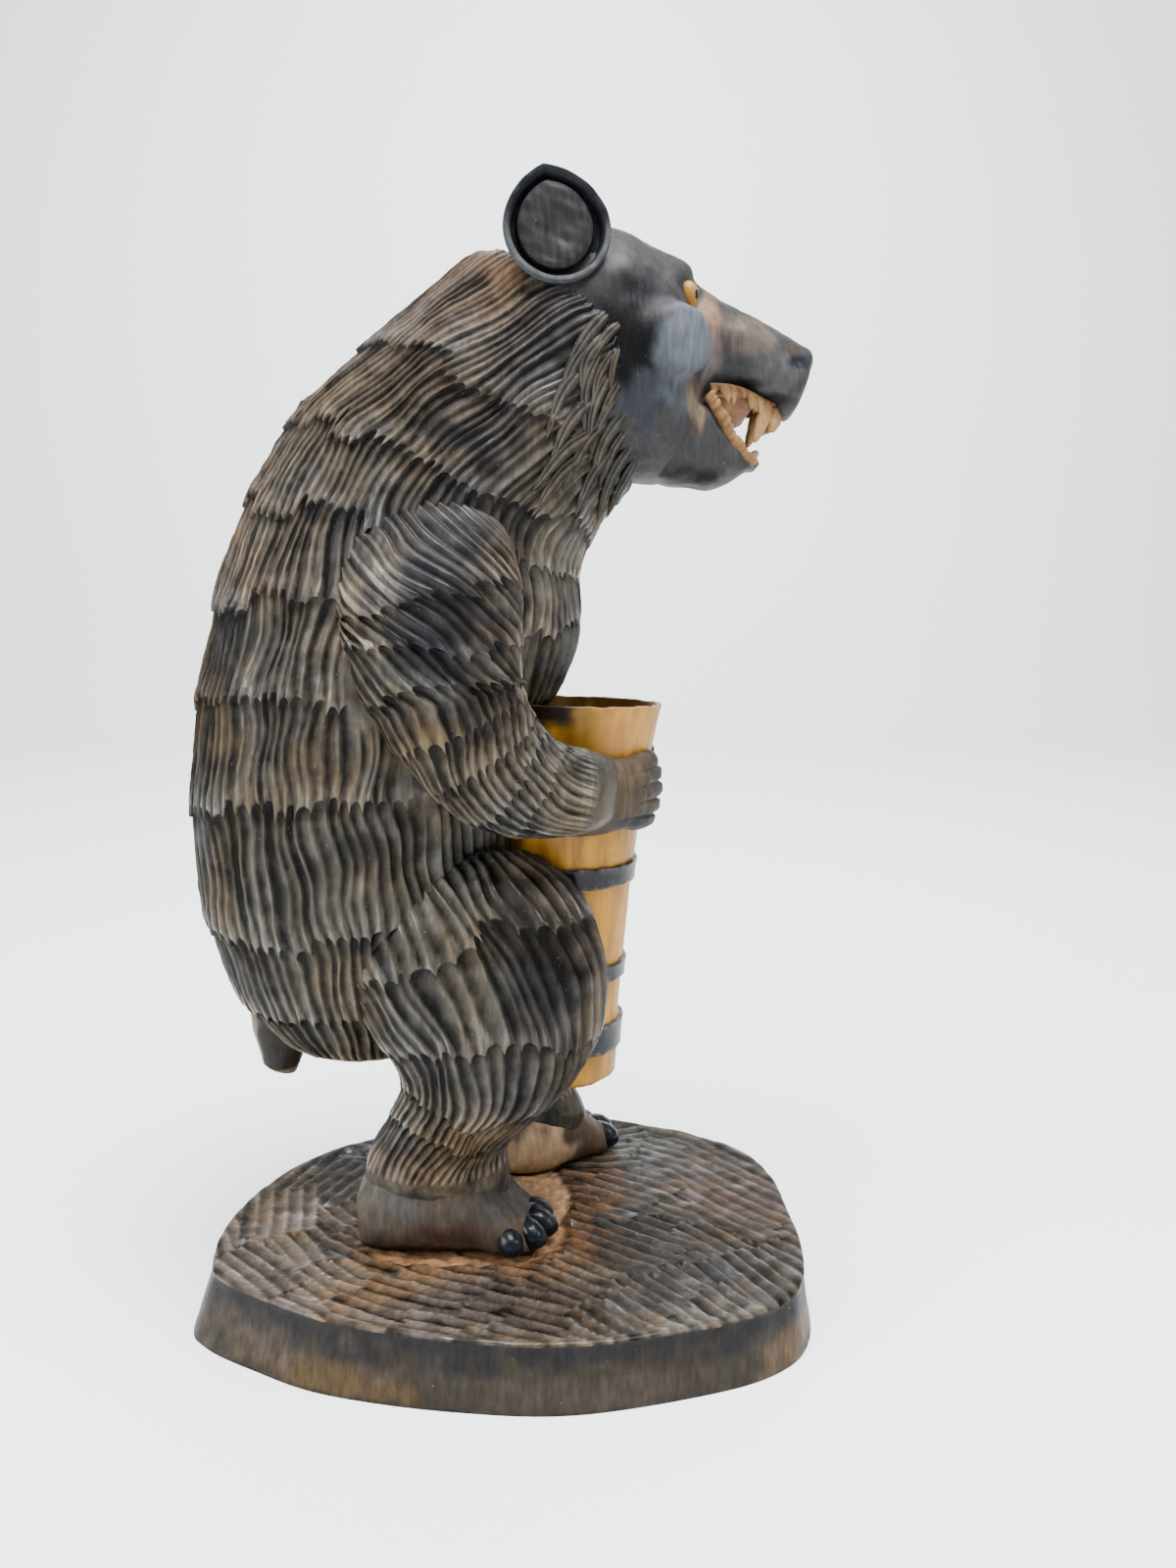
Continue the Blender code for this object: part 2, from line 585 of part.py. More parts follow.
def main():
    for old in list(bpy.data.objects):
        bpy.data.objects.remove(old)
    body = furry_form("carved_bear", TRUNK, TRUNK_FUR)
    forms = [plinth(), tub_body(),
             smooth_form("head", HEAD, 15, 15, square=HEAD_SQUARE),
             smooth_form("jaw", JAW, 9, 12, square=JAW_SQUARE),
             smooth_form("tail", TAIL, 4, 8)]
    for side, word, stride in ((-1, "right", 0.0), (1, "left", STRIDE)):
        forms.append(furry_form(f"arm_{word}", ARM, ARM_FUR, side=side))
        forms.append(furry_form(f"leg_{word}", LEG, LEG_FUR, SMOOTH_SHIN_ROWS, side, stride))
        forms.append(smooth_form(f"foot_{word}", FOOT, 6, 12, side, stride))
        forms.append(ear(f"ear_{word}", side))
        forms += paw(f"paw_{word}", side)
        forms += claws(f"foot_{word}", side, stride)
    forms += face()
    join(body, "UNION", forms)
    join(body, "DIFFERENCE", [tub_hollow()])
    merge_flat_faces(body)
    body.data.materials.append(wood())


main()
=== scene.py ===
"""Carved wooden bear that hugs a hooped tub: its fine carving, finishes, floor and light.

The solid in the frame gives the size and the place of the whole. Every form here is drawn
in parts of the object's height, of which it has 300: 18 for the plinth and 282 for the
bear, with heights from the plinth's top. The bear faces +X and its right side is -Y.
A form is a surface of two parameters, the place along it and the turn round it, and the
carving is a depth that is cut into that surface. All forms together stand for the one
block of wood that the solid is.
"""

import math

import bpy
import numpy as np
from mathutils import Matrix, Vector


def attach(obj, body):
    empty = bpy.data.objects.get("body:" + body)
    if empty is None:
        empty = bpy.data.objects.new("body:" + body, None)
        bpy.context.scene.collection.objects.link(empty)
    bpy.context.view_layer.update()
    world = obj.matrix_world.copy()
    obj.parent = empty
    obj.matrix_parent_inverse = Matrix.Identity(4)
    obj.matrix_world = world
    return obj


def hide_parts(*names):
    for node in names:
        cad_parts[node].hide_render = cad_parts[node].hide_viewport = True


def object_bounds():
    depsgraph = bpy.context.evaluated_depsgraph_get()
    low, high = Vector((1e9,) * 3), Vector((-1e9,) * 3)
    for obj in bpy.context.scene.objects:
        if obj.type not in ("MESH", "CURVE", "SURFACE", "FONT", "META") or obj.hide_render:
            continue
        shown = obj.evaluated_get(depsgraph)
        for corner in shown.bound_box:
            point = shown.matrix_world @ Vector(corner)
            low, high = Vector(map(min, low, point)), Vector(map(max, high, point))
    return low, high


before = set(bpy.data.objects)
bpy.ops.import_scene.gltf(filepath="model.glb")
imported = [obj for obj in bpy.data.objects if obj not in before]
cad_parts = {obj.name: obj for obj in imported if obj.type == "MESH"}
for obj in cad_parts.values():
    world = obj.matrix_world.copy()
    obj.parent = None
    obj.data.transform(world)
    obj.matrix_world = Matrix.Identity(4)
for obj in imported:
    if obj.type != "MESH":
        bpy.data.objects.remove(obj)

bl_info = {
    "name": "Carved Bear",
    "version": (1, 0, 0),
    "blender": (4, 5, 0),
    "location": "View3D > Sidebar > Carved Bear",
    "description": "Builds a gouge-carved wooden bear with its tub and plinth",
    "category": "Add Mesh",
}

SOLID_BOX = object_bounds()
SOLID = "carved_bear"
PARTS_HIGH = 300.0                       # parts in the object's height
GROUND_PARTS = 18.0                      # parts of it that are the plinth
UNIT = (SOLID_BOX[1].z - SOLID_BOX[0].z) / PARTS_HIGH
GROUND = GROUND_PARTS * UNIT
RIGHT, LEFT = -1.0, 1.0
SIDES = ((RIGHT, "right"), (LEFT, "left"))
TINY = 1e-12                             # keeps a division by a zero length from failing
# Rings and columns of each form's mesh
FINENESS = {
    "trunk": (185, 480), "arm": (140, 260), "leg": (115, 290), "foot": (84, 96),
    "paw": (80, 130), "head": (180, 160), "jaw": (80, 90), "ear": (72, 130), "eye": (24, 40),
    "mouth": (60, 90), "tail": (70, 80), "lock": (20, 22), "teeth": (200, 24),
    "hoop": (160, 16),
}

# Ribs of each form: x and z of a bar's first end, x and z of its other end, y of the bar,
# half the width across it, and how far the section's sides lead the bar
TRUNK = (
    (4, 256, 30, 222, 0, 18, 10),
    (-6, 266, 34.5, 209.5, 0, 29.5, 15),
    (-20, 256.5, 32, 204.5, 0, 31.5, 9),
    (-33, 246, 27.8, 199.5, 0, 34, 4),
    (-46, 235, 23.2, 191.5, 0, 36.5, 0),
    (-58, 222, 20.6, 183.5, 0, 38, 0),
    (-67.5, 206, 21.0, 173.5, 0, 39.5, 0),
    (-75, 189, 20.2, 165, 0, 40, 0),
    (-79.5, 172, 15.4, 154, 0, 40, 0),
    (-83.5, 155, 9, 142, 0, 40, 0),
    (-86, 137, 6, 130, 0, 40.5, 0),
    (-87, 120, 5, 115, 0, 41, 0),
    (-86, 101, 4, 99, 0, 40.5, 0),
    (-82.5, 84, 1, 84, 0, 38, 0),
    (-76.5, 69, -5, 70, 0, 33, 0),
    (-66, 57, -14, 58, 0, 26, 0),
    (-54, 51, -24, 52, 0, 15, 0),
)
HEAD = (
    (-2, 254, 4, 222, 0, 15, 0),
    (6, 266, 14, 211.5, 0, 25, 0),
    (18, 272, 24, 209, 0, 28.5, 0),
    (30, 271.0, 34, 208.5, 0, 28.5, 0),
    (39, 266.9, 42, 208.5, 0, 25.5, 0),
    (46, 263.4, 48, 213, 0, 21, 0),
    (50.5, 258, 53, 228, 0, 17.2, 0),
    (60, 252.6, 61, 231.3, 0, 14.5, 0),
    (69, 248.2, 69, 227.3, 0, 12.6, 0),
    (76, 244.5, 74.5, 224.4, 0, 10.6, 0),
    (79.7, 242, 78, 229.4, 0, 8, 0),
    (81, 239.5, 79.5, 234, 0, 4, 0),
)
JAW = (
    (34, 226, 34, 212, 0, 14, 0),
    (45, 231, 42, 208, 0, 16.5, 0),
    (53, 231, 49, 207.3, 0, 15, 0),
    (58, 225, 54, 206.6, 0, 13, 0),
    (62, 219.5, 59.5, 208.3, 0, 11, 0),
    (65.3, 215, 63.8, 211, 0, 8.2, 0),
    (67.2, 213, 66.5, 211.5, 0, 5, 0),
)
ARM = (
    (-26, 201, -8, 202, 26, 6, 0),
    (-36, 192, 3, 195, 32, 10, 0),
    (-38.5, 178, 7, 181, 36, 12, 0),
    (-37, 164, 7, 168, 37, 12.5, 0),
    (-31.5, 151, 7, 159, 37.5, 12, 0),
    (-22, 137, 9.5, 152, 37.5, 11.5, 0),
    (-9, 124, 13.5, 146, 36.5, 10.5, 0),
    (6, 119, 18, 143, 34, 9.5, 0),
    (20, 119.5, 23, 141.5, 31, 7.5, 0),
    (28, 121, 28.5, 139, 25, 3.8, 0),
)
LEG = (
    (-41, 104, 8, 112, 17, 12, 0),
    (-45, 92, 20, 104, 23, 15.5, 0),
    (-43.5, 80, 26, 92, 25.5, 17.5, 0),
    (-38, 69, 28, 80, 26.5, 18, 0),
    (-31, 59, 26.5, 66, 26.5, 17.2, 0),
    (-28, 52, 20, 53, 25, 15.5, 0),
    (-29.5, 45, 11.5, 43, 22.5, 13.8, 0),
    (-33, 37, 4, 35, 19.5, 12.5, 0),
    (-38, 28, 0.5, 28, 17, 11.8, 0),
    (-40, 18, 1, 20, 15, 11.2, 0),
    (-38.5, 8, 0, 12, 14, 9.5, 0),
    (-33, -2.5, -6, -2.5, 14, 6.5, 0),
)
FOOT = (
    (-42.2, 8, -41.6, 1, 14, 4, 0),
    (-40.6, 17, -39.4, -2, 14, 9.2, 0),
    (-33, 22.5, -32, -2.5, 14, 11.6, 0),
    (-18, 23.5, -18, -2.5, 14, 12.4, 0),
    (-8, 21, -8, -2.5, 14.4, 12.4, 0),
    (-1, 15.5, -1, -2.5, 15.2, 12.2, 0),
    (4.5, 9.5, 4.5, -2.5, 16, 10.8, 0),
    (8, 5.0, 8, -2.5, 16.4, 8.4, 0),
)
FOOT_SQUARE = 0.85                       # how boxy a foot's section is
TAIL = (
    (-72, 78, -52, 72, 0, 7, 0),
    (-74, 62, -57, 55, 0, 6.5, 0),
    (-71, 47, -61.5, 43.2, 0, 5.5, 0),
)
STRIDE = 21.0                            # how far the left foot is ahead
STANCE = 17.0                            # and how much further out it stands
SPLAY = math.radians(28.0)               # how far its toes point outwards
SPLAY_FROM, SPLAY_LONG = -8.0, 24.0      # x from the ankle where the turn starts, its length
STRIDE_PLACES = (0.25, 0.85)             # places along the leg where the stride sets in and is full

# Tiers of fur: place of the tier's start on the back and on the front of the form, width
# of a flute, depth of a flute, how far its rounded head arches up, the step below it, and
# how far groups of flutes start before or after their tier
TRUNK_TIERS = (
    (0.030, 0.03, 3.0, 0.75, 1.6, 0.4, 2.2),
    (0.197, 0.14, 3.0, 0.85, 2.0, 0.9, 3.4),
    (0.300, 0.24, 3.1, 0.85, 2.2, 1.0, 3.2),
    (0.383, 0.33, 3.1, 0.85, 2.0, 1.0, 2.8),
    (0.478, 0.42, 3.3, 0.90, 2.2, 1.0, 3.2),
    (0.574, 0.51, 3.4, 0.90, 2.6, 0.9, 3.2),
    (0.690, 0.62, 3.8, 0.95, 3.2, 0.9, 3.2),
    (0.795, 0.77, 3.8, 0.85, 2.6, 0.9, 2.2),
    (0.885, 0.88, 4.6, 0.80, 2.4, 0.7, 1.2),
)
ARM_TIERS = (
    (0.03, 0.04, 3.0, 0.75, 1.6, 0.1, 1.2),
    (0.25, 0.22, 3.2, 0.80, 1.8, 0.4, 4.5),
    (0.345, 0.325, 3.2, 0.80, 1.8, 0.4, 3.0),
    (0.43, 0.44, 3.0, 0.70, 2.2, 0.4, 1.6),
    (0.54, 0.55, 2.8, 0.60, 3.2, 0.3, 1.0),
    (0.62, 0.63, 2.8, 0.60, 3.4, 0.3, 1.0),
    (0.70, 0.71, 2.8, 0.60, 3.4, 0.3, 1.0),
    (0.78, 0.79, 2.8, 0.55, 3.4, 0.3, 1.0),
)
LEG_TIERS = (
    (0.03, 0.02, 2.6, 0.80, 2.2, 0.4, 2.4),
    (0.17, 0.17, 2.6, 0.85, 2.2, 0.5, 3.0),
    (0.33, 0.36, 2.6, 0.85, 2.4, 0.5, 3.0),
    (0.50, 0.52, 2.4, 0.70, 2.4, 0.4, 2.4),
    (0.62, 0.66, 2.4, 0.55, 2.4, 0.3, 2.4),
)
# How far the cuts have turned round the form, as pairs of place and turns
ARM_TWIST = ((0.0, 0.0), (0.1, 0.10), (0.3, 0.38), (0.45, 0.48), (0.55, 0.46), (0.7, 0.36),
             (0.9, 0.22), (1.0, 0.18))
LEG_TWIST = ((0.0, 0.0), (0.25, 0.045), (0.5, 0.06), (1.0, 0.05))
STRAIGHT = ((0.0, 0.0), (1.0, 0.0))
COLLAR_SUNK = 1.8                        # how deep a form's first edge lies under its skin
FUR_END = {"trunk": 0.955, "arm": 0.87, "leg": 0.76}   # place where the last tier ends
TAIL_RINGS = {"trunk": 6, "arm": 6, "leg": 18}         # rings from there to the form's end

# A gouge cut, or flute: the ranges of its width, its depth and how light its ridges are
FLUTE_WIDTHS, FLUTE_DEPTHS, FLUTE_LIGHTS = (0.70, 1.30), (0.72, 1.2), (0.35, 1.0)
FEWEST_FLUTES, FEWEST_RINGS = 3, 9       # in a tier
GROUP_SIZES, GROUP_STRAY = (3, 9), 0.18  # flutes that start together, and how far one strays
DRIFTS, DRIFT = 12, 0.5                  # slow shifts of a tier's start round the form
BOWL_POWER, RIDGE_POWER = 2.4, 5         # how square its bowl is, and how sharp its ridges
ENTRY, RUN_OUT = 0.04, 0.55              # share of its run to full depth, and share lost at its end
NARROW, NARROW_FROM, NARROW_POWER = 0.62, 0.55, 1.6    # how it comes to a point
SLANT_FROM, SLANT_WIDE = 0.75, 1.35      # where its steep side turns into the flat one
STEEP, FLATTER = 1.25, 0.55              # depth on the steep side, and how much less on the other
RIDGE_DULL, RIDGE_RISE = 0.45, 0.25      # how light a ridge starts, and where it is full
MOUTH_SHADE, MOUTH_LONG = 0.25, 0.05      # painted shade where a flute starts, and the share of its run over which it fades
BOWL_SHADING = 0.37                        # painted shading across a flute: how much lighter its bowl grows towards the flatter side
FIRST_RING, RING_POWER = 0.015, 1.25     # rings lie closer together where a tier starts
STEP_POWER, STEP_SWELL = 1.2, 1.3        # how the form rises again from the step
EVEN_STEP = 0.3                          # the step in front, as a share of the one behind
CALM_DEPTH, CALM_LIGHT = 0.45, 0.35      # the smooth places' depth and lightness
# How far the cuts lead to the form's front on both sides, as pairs of place and radians
TRUNK_FAN = ((0.0, -0.30), (0.07, 0.02), (0.27, -0.22), (0.5, -0.10), (0.8, 0.12), (1.0, 0.2))
CUT_SWAY = 0.9                           # how far a cut strays from its line
# Where the skin stays smooth: x, |y|, z and the reach along each of them
TRUNK_CALM = (
    (-30, 38, 160, 8, 12, 14),
    (-18, 38, 137, 9, 12, 12),
)

# The hollow in the fur under the ear
TRUNK_HOLLOWS = ((15, 27, 254, 10, 7, 6, -2.4),)
# Locks of the ruff: x and z of each lock's root, middle and tip, and half its width
LOCKS = (
    (28.6, 242.2, 22.5, 236.3, 21.6, 229.2, 1.7), (26.0, 237.7, 22.2, 229.8, 21.9, 221.8, 1.5),
    (28.4, 233.1, 24.3, 225.8, 23.1, 217.8, 1.6), (31.0, 231.5, 27.5, 226.1, 25.4, 219.7, 1.4),
    (32.4, 224.5, 26.6, 217.2, 24.3, 208.6, 1.7), (32.2, 219.9, 28.4, 214.6, 26.1, 208.3, 1.4),
    (33.4, 216.0, 28.8, 209.6, 25.9, 201.2, 1.6), (34.4, 212.4, 31.2, 207.4, 28.6, 201.5, 1.4),
    (24.6, 219.4, 17.4, 215.0, 11.2, 207.4, 1.9), (22.5, 214.0, 16.2, 209.6, 10.6, 201.4, 1.8),
    (30.4, 238.9, 28.6, 234.2, 28.2, 228.8, 1.0), (27.4, 246.4, 22.9, 241.7, 18.4, 234.9, 1.7),
    (24.4, 227.0, 18.6, 221.8, 14.6, 213.8, 1.8), (21.4, 233.6, 16.4, 227.6, 13.6, 219.8, 1.7),
    (29.6, 238.4, 25.4, 232.4, 24.0, 225.4, 1.2), (29.8, 227.6, 25.6, 221.6, 23.6, 214.4, 1.3),
    (27.2, 221.8, 21.8, 216.2, 17.8, 208.2, 1.6), (28.6, 215.4, 23.8, 209.6, 20.4, 201.6, 1.6),
    (30.6, 244.2, 26.6, 240.6, 23.8, 235.4, 1.2), (24.2, 240.2, 19.2, 234.4, 16.6, 227.0, 1.5),
)
LOCK_THICK, LOCK_SUNK, LOCK_CUTS = 1.1, 0.55, 4   # half thickness, depth of its bed, cuts in it
LOCK_LONGER = 1.35                       # a lock's length for the distance given above
LOCK_NEAR = 1.3                          # it lies on the points that are so near its route
LOCK_AHEAD = 0.25                        # how far it faces ahead, for one aside
CUT_DEPTH, CUT_PHASE = 0.45, 0.6         # of the cuts in it, and where the first one lies
ROOT_SUNK, ROOT_LONG = 1.2, 0.35         # how deep its root is sunk, and over which share
LOCK_TINT = ((26, 0, 222, 40, 60, 40, 0.85, 0.84, 0.82, 0.9),)

# Patches of stain, with a painted sheen and painted shade among them: x, y, z, the reach along each,
# a colour or a tint, and how strong it is
FUR_TINT = (
    (-12, -18, 254, 26, 30, 16, 1.45, 1.20, 1.02, 0.9),
    (-45, -12, 238, 22, 30, 18, 1.15, 1.07, 1.04, 0.8),
    (-8, -30, 222, 24, 12, 18, 0.55, 0.55, 0.62, 0.8),
    (16, -27, 238, 14, 12, 26, 0.75, 0.80, 0.95, 0.7),
    (-66, -20, 195, 22, 40, 26, 1.50, 1.28, 1.12, 0.8),
    (-62, -30, 150, 26, 40, 26, 1.00, 0.94, 0.82, 0.8),
    (-40, -40, 100, 44, 30, 24, 1.0, 0.92, 0.70, 0.8),
    (-45, -20, 68, 30, 40, 14, 0.85, 0.80, 0.66, 0.8),
    (22, -18, 205, 14, 20, 14, 1.15, 1.00, 0.76, 0.8),
    (20, -15, 182, 16, 24, 22, 1.9, 1.85, 1.7, 0.9),
    (-14, -38, 199, 26, 18, 9, 0.50, 0.50, 0.54, 0.9),
    # painted sheen: a light grey tint on the shoulder's rear and top, for the varnish's reflection
    (-30, -46, 181, 12, 16, 12, 1.6, 1.68, 1.85, 0.9),
    (-12, -47, 176, 14, 14, 18, 0.20, 0.22, 0.30, 0.97),
    (-2, -47, 158, 12, 12, 16, 0.36, 0.36, 0.40, 0.9),
    (-24, -46, 146, 14, 14, 16, 1.20, 1.08, 0.80, 0.8),
    (12, -42, 134, 22, 16, 14, 1.50, 1.52, 1.46, 0.85),
    (12, -42, 92, 18, 20, 26, 0.28, 0.28, 0.31, 0.92),
    (-16, -40, 84, 18, 20, 20, 0.95, 0.88, 0.72, 0.7),
    (-18, -36, 44, 22, 22, 18, 1.45, 1.28, 1.02, 0.8),
    (-14, -22, 4, 34, 20, 16, 1.55, 1.25, 1.05, 0.9),
    (-18, -20, 23, 28, 26, 8, 2.3, 2.0, 1.7, 0.9),
)
FUR_PAINT = (
    (2.5, -25, 257.5, 5, 10, 6, 0.115, 0.064, 0.036, 0.5),
    # painted shade: these black strips stand for the dark crevice between the arm's top and the neck
    (-13, -36, 219.5, 5.5, 14, 3.4, 0.002, 0.002, 0.003, 0.8),
    (-7, -36, 215.5, 5.5, 14, 3.6, 0.002, 0.002, 0.003, 0.9),
    (-1, -36, 210.5, 5.0, 14, 3.8, 0.002, 0.002, 0.003, 0.9),
    (-30, -38, 181, 3, 14, 20, 0.003, 0.003, 0.004, 0.6),
    (24, -27, 226, 9, 12, 22, 0.003, 0.003, 0.004, 0.7),
    (-33, -38, 118, 6, 10, 5, 0.004, 0.004, 0.004, 0.7),
)

EAR_HEART = (15.2, 26.6, 265.8)
EAR_HALF = (13.1, 12.8)
EAR_TIP = (102.0, 66.0, 0.195)           # its direction, its reach in degrees, and its rise
EAR_BOSS = 1.10                          # height of the raised oval for its width
EAR_FACING = (0.16, 0.96, 0.12)
# Profile of the ear: share of the oval and rise, from its middle over the rim to its back
EAR_PROFILE = (
    (0.0, 0.2), (0.20, 0.5), (0.42, 0.9), (0.60, 0.9), (0.69, 0.6), (0.72, -1.6), (0.82, -1.9),
    (0.86, 0.9), (0.90, 1.8), (0.97, 1.9), (1.0, 0.4), (0.90, -3.0), (0.55, -5.4), (0.18, -6.2),
)
EAR_GROOVE = (0.69, 0.87)                # shares between which its bottom is painted black
EAR_RIM_RING = 8                         # the profile's row at the top of the rim
EAR_THICK, EAR_THICK_AT = 0.06, -0.7     # the groove is wider there: share and radians
EAR_INSIDE = (0.0100, 0.0093, 0.0100)
EAR_EDGE = (0.004, 0.005, 0.008)
EAR_EDGE_LOW = (0.045, 0.048, 0.052)     # the rim's paint is lighter low down

HEAD_SQUARE, JAW_SQUARE = 0.85, 0.75     # how boxy their sections are: 1 is oval
# Soft mounds and hollows of the head: x, |y|, z, the reach along each, and the height
HEAD_MOUNDS = (
    (44.0, 11, 261.5, 5.0, 5.5, 4.0, 0.8),
    (47.3, 9, 260, 2.6, 5.0, 2.2, 0.8),
    (50.0, 16, 253.0, 3.4, 5.0, 4.4, -3.2),
    (43.5, 20, 247, 6.5, 7, 7.5, 1.5),
    (36.5, 24, 243, 4.5, 7, 10, -1.2),
    (33, 27, 252, 6, 7, 3, -0.7),
    (56, 12, 242, 5.0, 6, 9, -2.2),
    (52.5, 15, 234.5, 4, 5, 5, -1.2),
    (70, 11, 233, 9, 5, 4, 0.6),
    (75.8, 8, 238.1, 1.7, 2.2, 1.4, -1.6),
    (78.5, 5, 240, 2.5, 4, 2.5, 0.7),
    (77, 0, 233.5, 4, 1.6, 6, -1.1),
)
JAW_MOUNDS = (
    (48, 15, 216, 6, 5, 6, -0.6),
    (58, 10, 211, 4, 5, 4, 0.7),
)
HEAD_BASE = ((40, 0, 240, 60, 60, 60, 0.026, 0.0255, 0.026, 0.95),)
HEAD_PAINT = (
    (34, -18, 268, 22, 30, 12, 0.027, 0.028, 0.029, 0.95),
    (34, -27, 255, 12, 9, 5.0, 0.013, 0.012, 0.013, 0.9),
    (37, -27, 230, 8.0, 14, 12, 0.016, 0.019, 0.027, 0.9),
    (33.0, -28, 242.5, 10.6, 14, 13.0, 0.0005, 0.0008, 0.0016, 1.0),
    (40.0, -22, 250.5, 7.5, 12, 5.5, 0.012, 0.013, 0.016, 0.85),
    # painted highlight: light grey-blue on the cheek's bulge, for the varnish's broad sheen there
    (44.5, -22, 241.5, 6.0, 12, 8.5, 0.060, 0.068, 0.079, 0.85),
    (44, -20, 232, 6.5, 12, 8, 0.047, 0.052, 0.062, 0.9),
    (52.8, -14, 249, 4.0, 9, 6.5, 0.165, 0.098, 0.058, 0.85),
    (53.0, -14, 239, 3.5, 9, 7, 0.115, 0.092, 0.083, 0.85),
    (46.6, -15.5, 253.4, 3.6, 6, 4.8, 0.006, 0.006, 0.007, 0.7),
    (63, -11, 244, 8, 9, 6, 0.069, 0.055, 0.045, 0.9),
    (70, -10, 235, 10, 9, 6, 0.044, 0.044, 0.045, 0.9),
    (60, -12, 232.5, 7, 9, 2.2, 0.003, 0.003, 0.004, 0.9),
    (69, -10, 228.6, 8, 9, 1.6, 0.004, 0.004, 0.005, 0.9),
    (76, -9, 238.5, 3.2, 5, 2.6, 0.003, 0.006, 0.012, 0.97),
    (50.2, -17, 228.5, 3.2, 8, 5.0, 0.085, 0.058, 0.038, 0.8),
    (48.6, -18, 226.5, 1.5, 8, 4.0, 0.150, 0.112, 0.074, 0.7),
    (51.0, -17, 225.5, 1.2, 8, 3.4, 0.180, 0.135, 0.090, 0.75),
)
# Where the head's varnish is dull and its stain thick
HEAD_DULL = (
    (33.0, -28, 243.0, 10.0, 16, 13.0, 0, 0, 0, 0.9),
    (40.5, -22, 250.5, 8.5, 16, 5.5, 0, 0, 0, 0.8),
)
JAW_PAINT = (
    (45, -15, 224, 10, 12, 10, 0.034, 0.035, 0.038, 0.8),
    (50.2, -17, 224.5, 3.2, 8, 5.0, 0.060, 0.040, 0.026, 0.8),
    (48.6, -18, 225.5, 1.5, 8, 3.6, 0.150, 0.112, 0.074, 0.7),
    (51.0, -17, 224.0, 1.2, 8, 3.2, 0.180, 0.135, 0.090, 0.75),
    (49.5, -12, 208.5, 9.0, 12, 5.0, 0.0035, 0.0022, 0.0018, 0.97),
    (60, -9, 210, 4, 10, 5, 0.041, 0.041, 0.043, 0.8),
)

# The cheek's disc: x, z and its reach along each, and how proud it is of the face
CHEEK = (42.6, 241.2, 9.8, 9.0)
CHEEK_PROUD = 2.4
# Knife strokes in the temple: x, z and the reach along each, their pitch and depth
TEMPLE = (33.5, 242, 7.5, 12, 1.3, 0.60)
CHEEK_SHEEN = (0.085, 0.096, 0.110)      # painted sheen: a thin lighter grey on the cheek's front half, for the varnish's reflection there
CHEEK_SHEEN_COVER = 0.9
CHEEK_SHEEN_FRONT = (38.5, 6.5, 232.0, 6.0)    # from which x and z it is painted, with their fades

EYE_HEART = (47.6, 14.6, 253.0)
EYE_HALF = (2.6, 3.7)                    # half its width and half its height
EYE_DEEP = 2.6
EYE_FACING = (0.66, 0.75, 0.0)
PUPIL = (0.2, 0.05, 0.38)                # its middle and radius, in shares of the eye
UPPER_CANINE = ((68.6, 8.2, 229, 1.7), (67.6, 8.6, 224, 1.8), (65.4, 8.7, 218.0, 0.7))
LOWER_CANINE = ((63.2, 6.6, 213.0, 1.8), (65.0, 6.6, 214.5, 1.5), (66.9, 6.4, 216.4, 0.6))
INCISOR = ((72.0, 1.7, 227.5, 1.4), (71.8, 1.7, 224.0, 1.4), (71.2, 1.7, 221.6, 0.7))
INCISORS = 3
INCISOR_PITCH = (-0.8, 2.9, -0.1, 0)
# The teeth strips: points along each as x, y and z of its gum, its height and half thickness
UPPER_STRIP = (
    (53.6, 12.2, 231.6, 2.4, 0.7), (58.4, 11.8, 231.4, 4.0, 0.8), (63.0, 11.0, 230.2, 4.8, 0.8),
    (67.4, 9.4, 228.4, 4.6, 0.8), (70.6, 7.0, 227.2, 4.2, 0.8), (72.4, 4.0, 226.4, 3.8, 0.8),
    (72.9, 0.0, 226.2, 3.6, 0.8),
)
LOWER_STRIP = (
    (52.6, 13.4, 229.6, 3.0, 1.0), (55.2, 12.6, 225.6, 3.4, 1.1), (58.2, 11.4, 220.6, 3.4, 1.2),
    (61.4, 9.8, 216.2, 3.4, 1.2), (64.2, 7.6, 213.4, 3.2, 1.2), (65.6, 4.0, 212.6, 2.8, 1.1),
    (66.0, 0.0, 212.4, 2.6, 1.1),
)
TOOTH_PITCH, TOOTH_STRAY = 2.1, 2.2      # from tooth to tooth, and how far that wanders
# Direction of the teeth from the gum, and what stays of their height between them
UPPER_TEETH, LOWER_TEETH = ((0.1, 0.0, -1.0), 0.50), ((0.75, 0.0, 0.66), 0.86)
# Inside of the mouth, as ribs: a wall behind, that runs out into the palate in front
PALATE = (
    (50, 232.5, 51, 222, 0, 10.5, 0),
    (54, 232.0, 55.5, 221.0, 0, 10.6, 0),
    (58, 232.5, 59.5, 221.8, 0, 10.2, 0),
    (61.5, 232.0, 62.5, 223.6, 0, 9.6, 0),
    (66, 231.5, 66, 227.8, 0, 8.6, 0),
    (71, 230.5, 70.5, 227.6, 0, 6.8, 0),
    (73.5, 229.5, 73, 228.0, 0, 3.0, 0),
)
PALATE_SQUARE = 0.7
PALATE_PAINT = ((60, 0, 226, 18, 20, 12, 0.17, 0.085, 0.050, 0.95),)

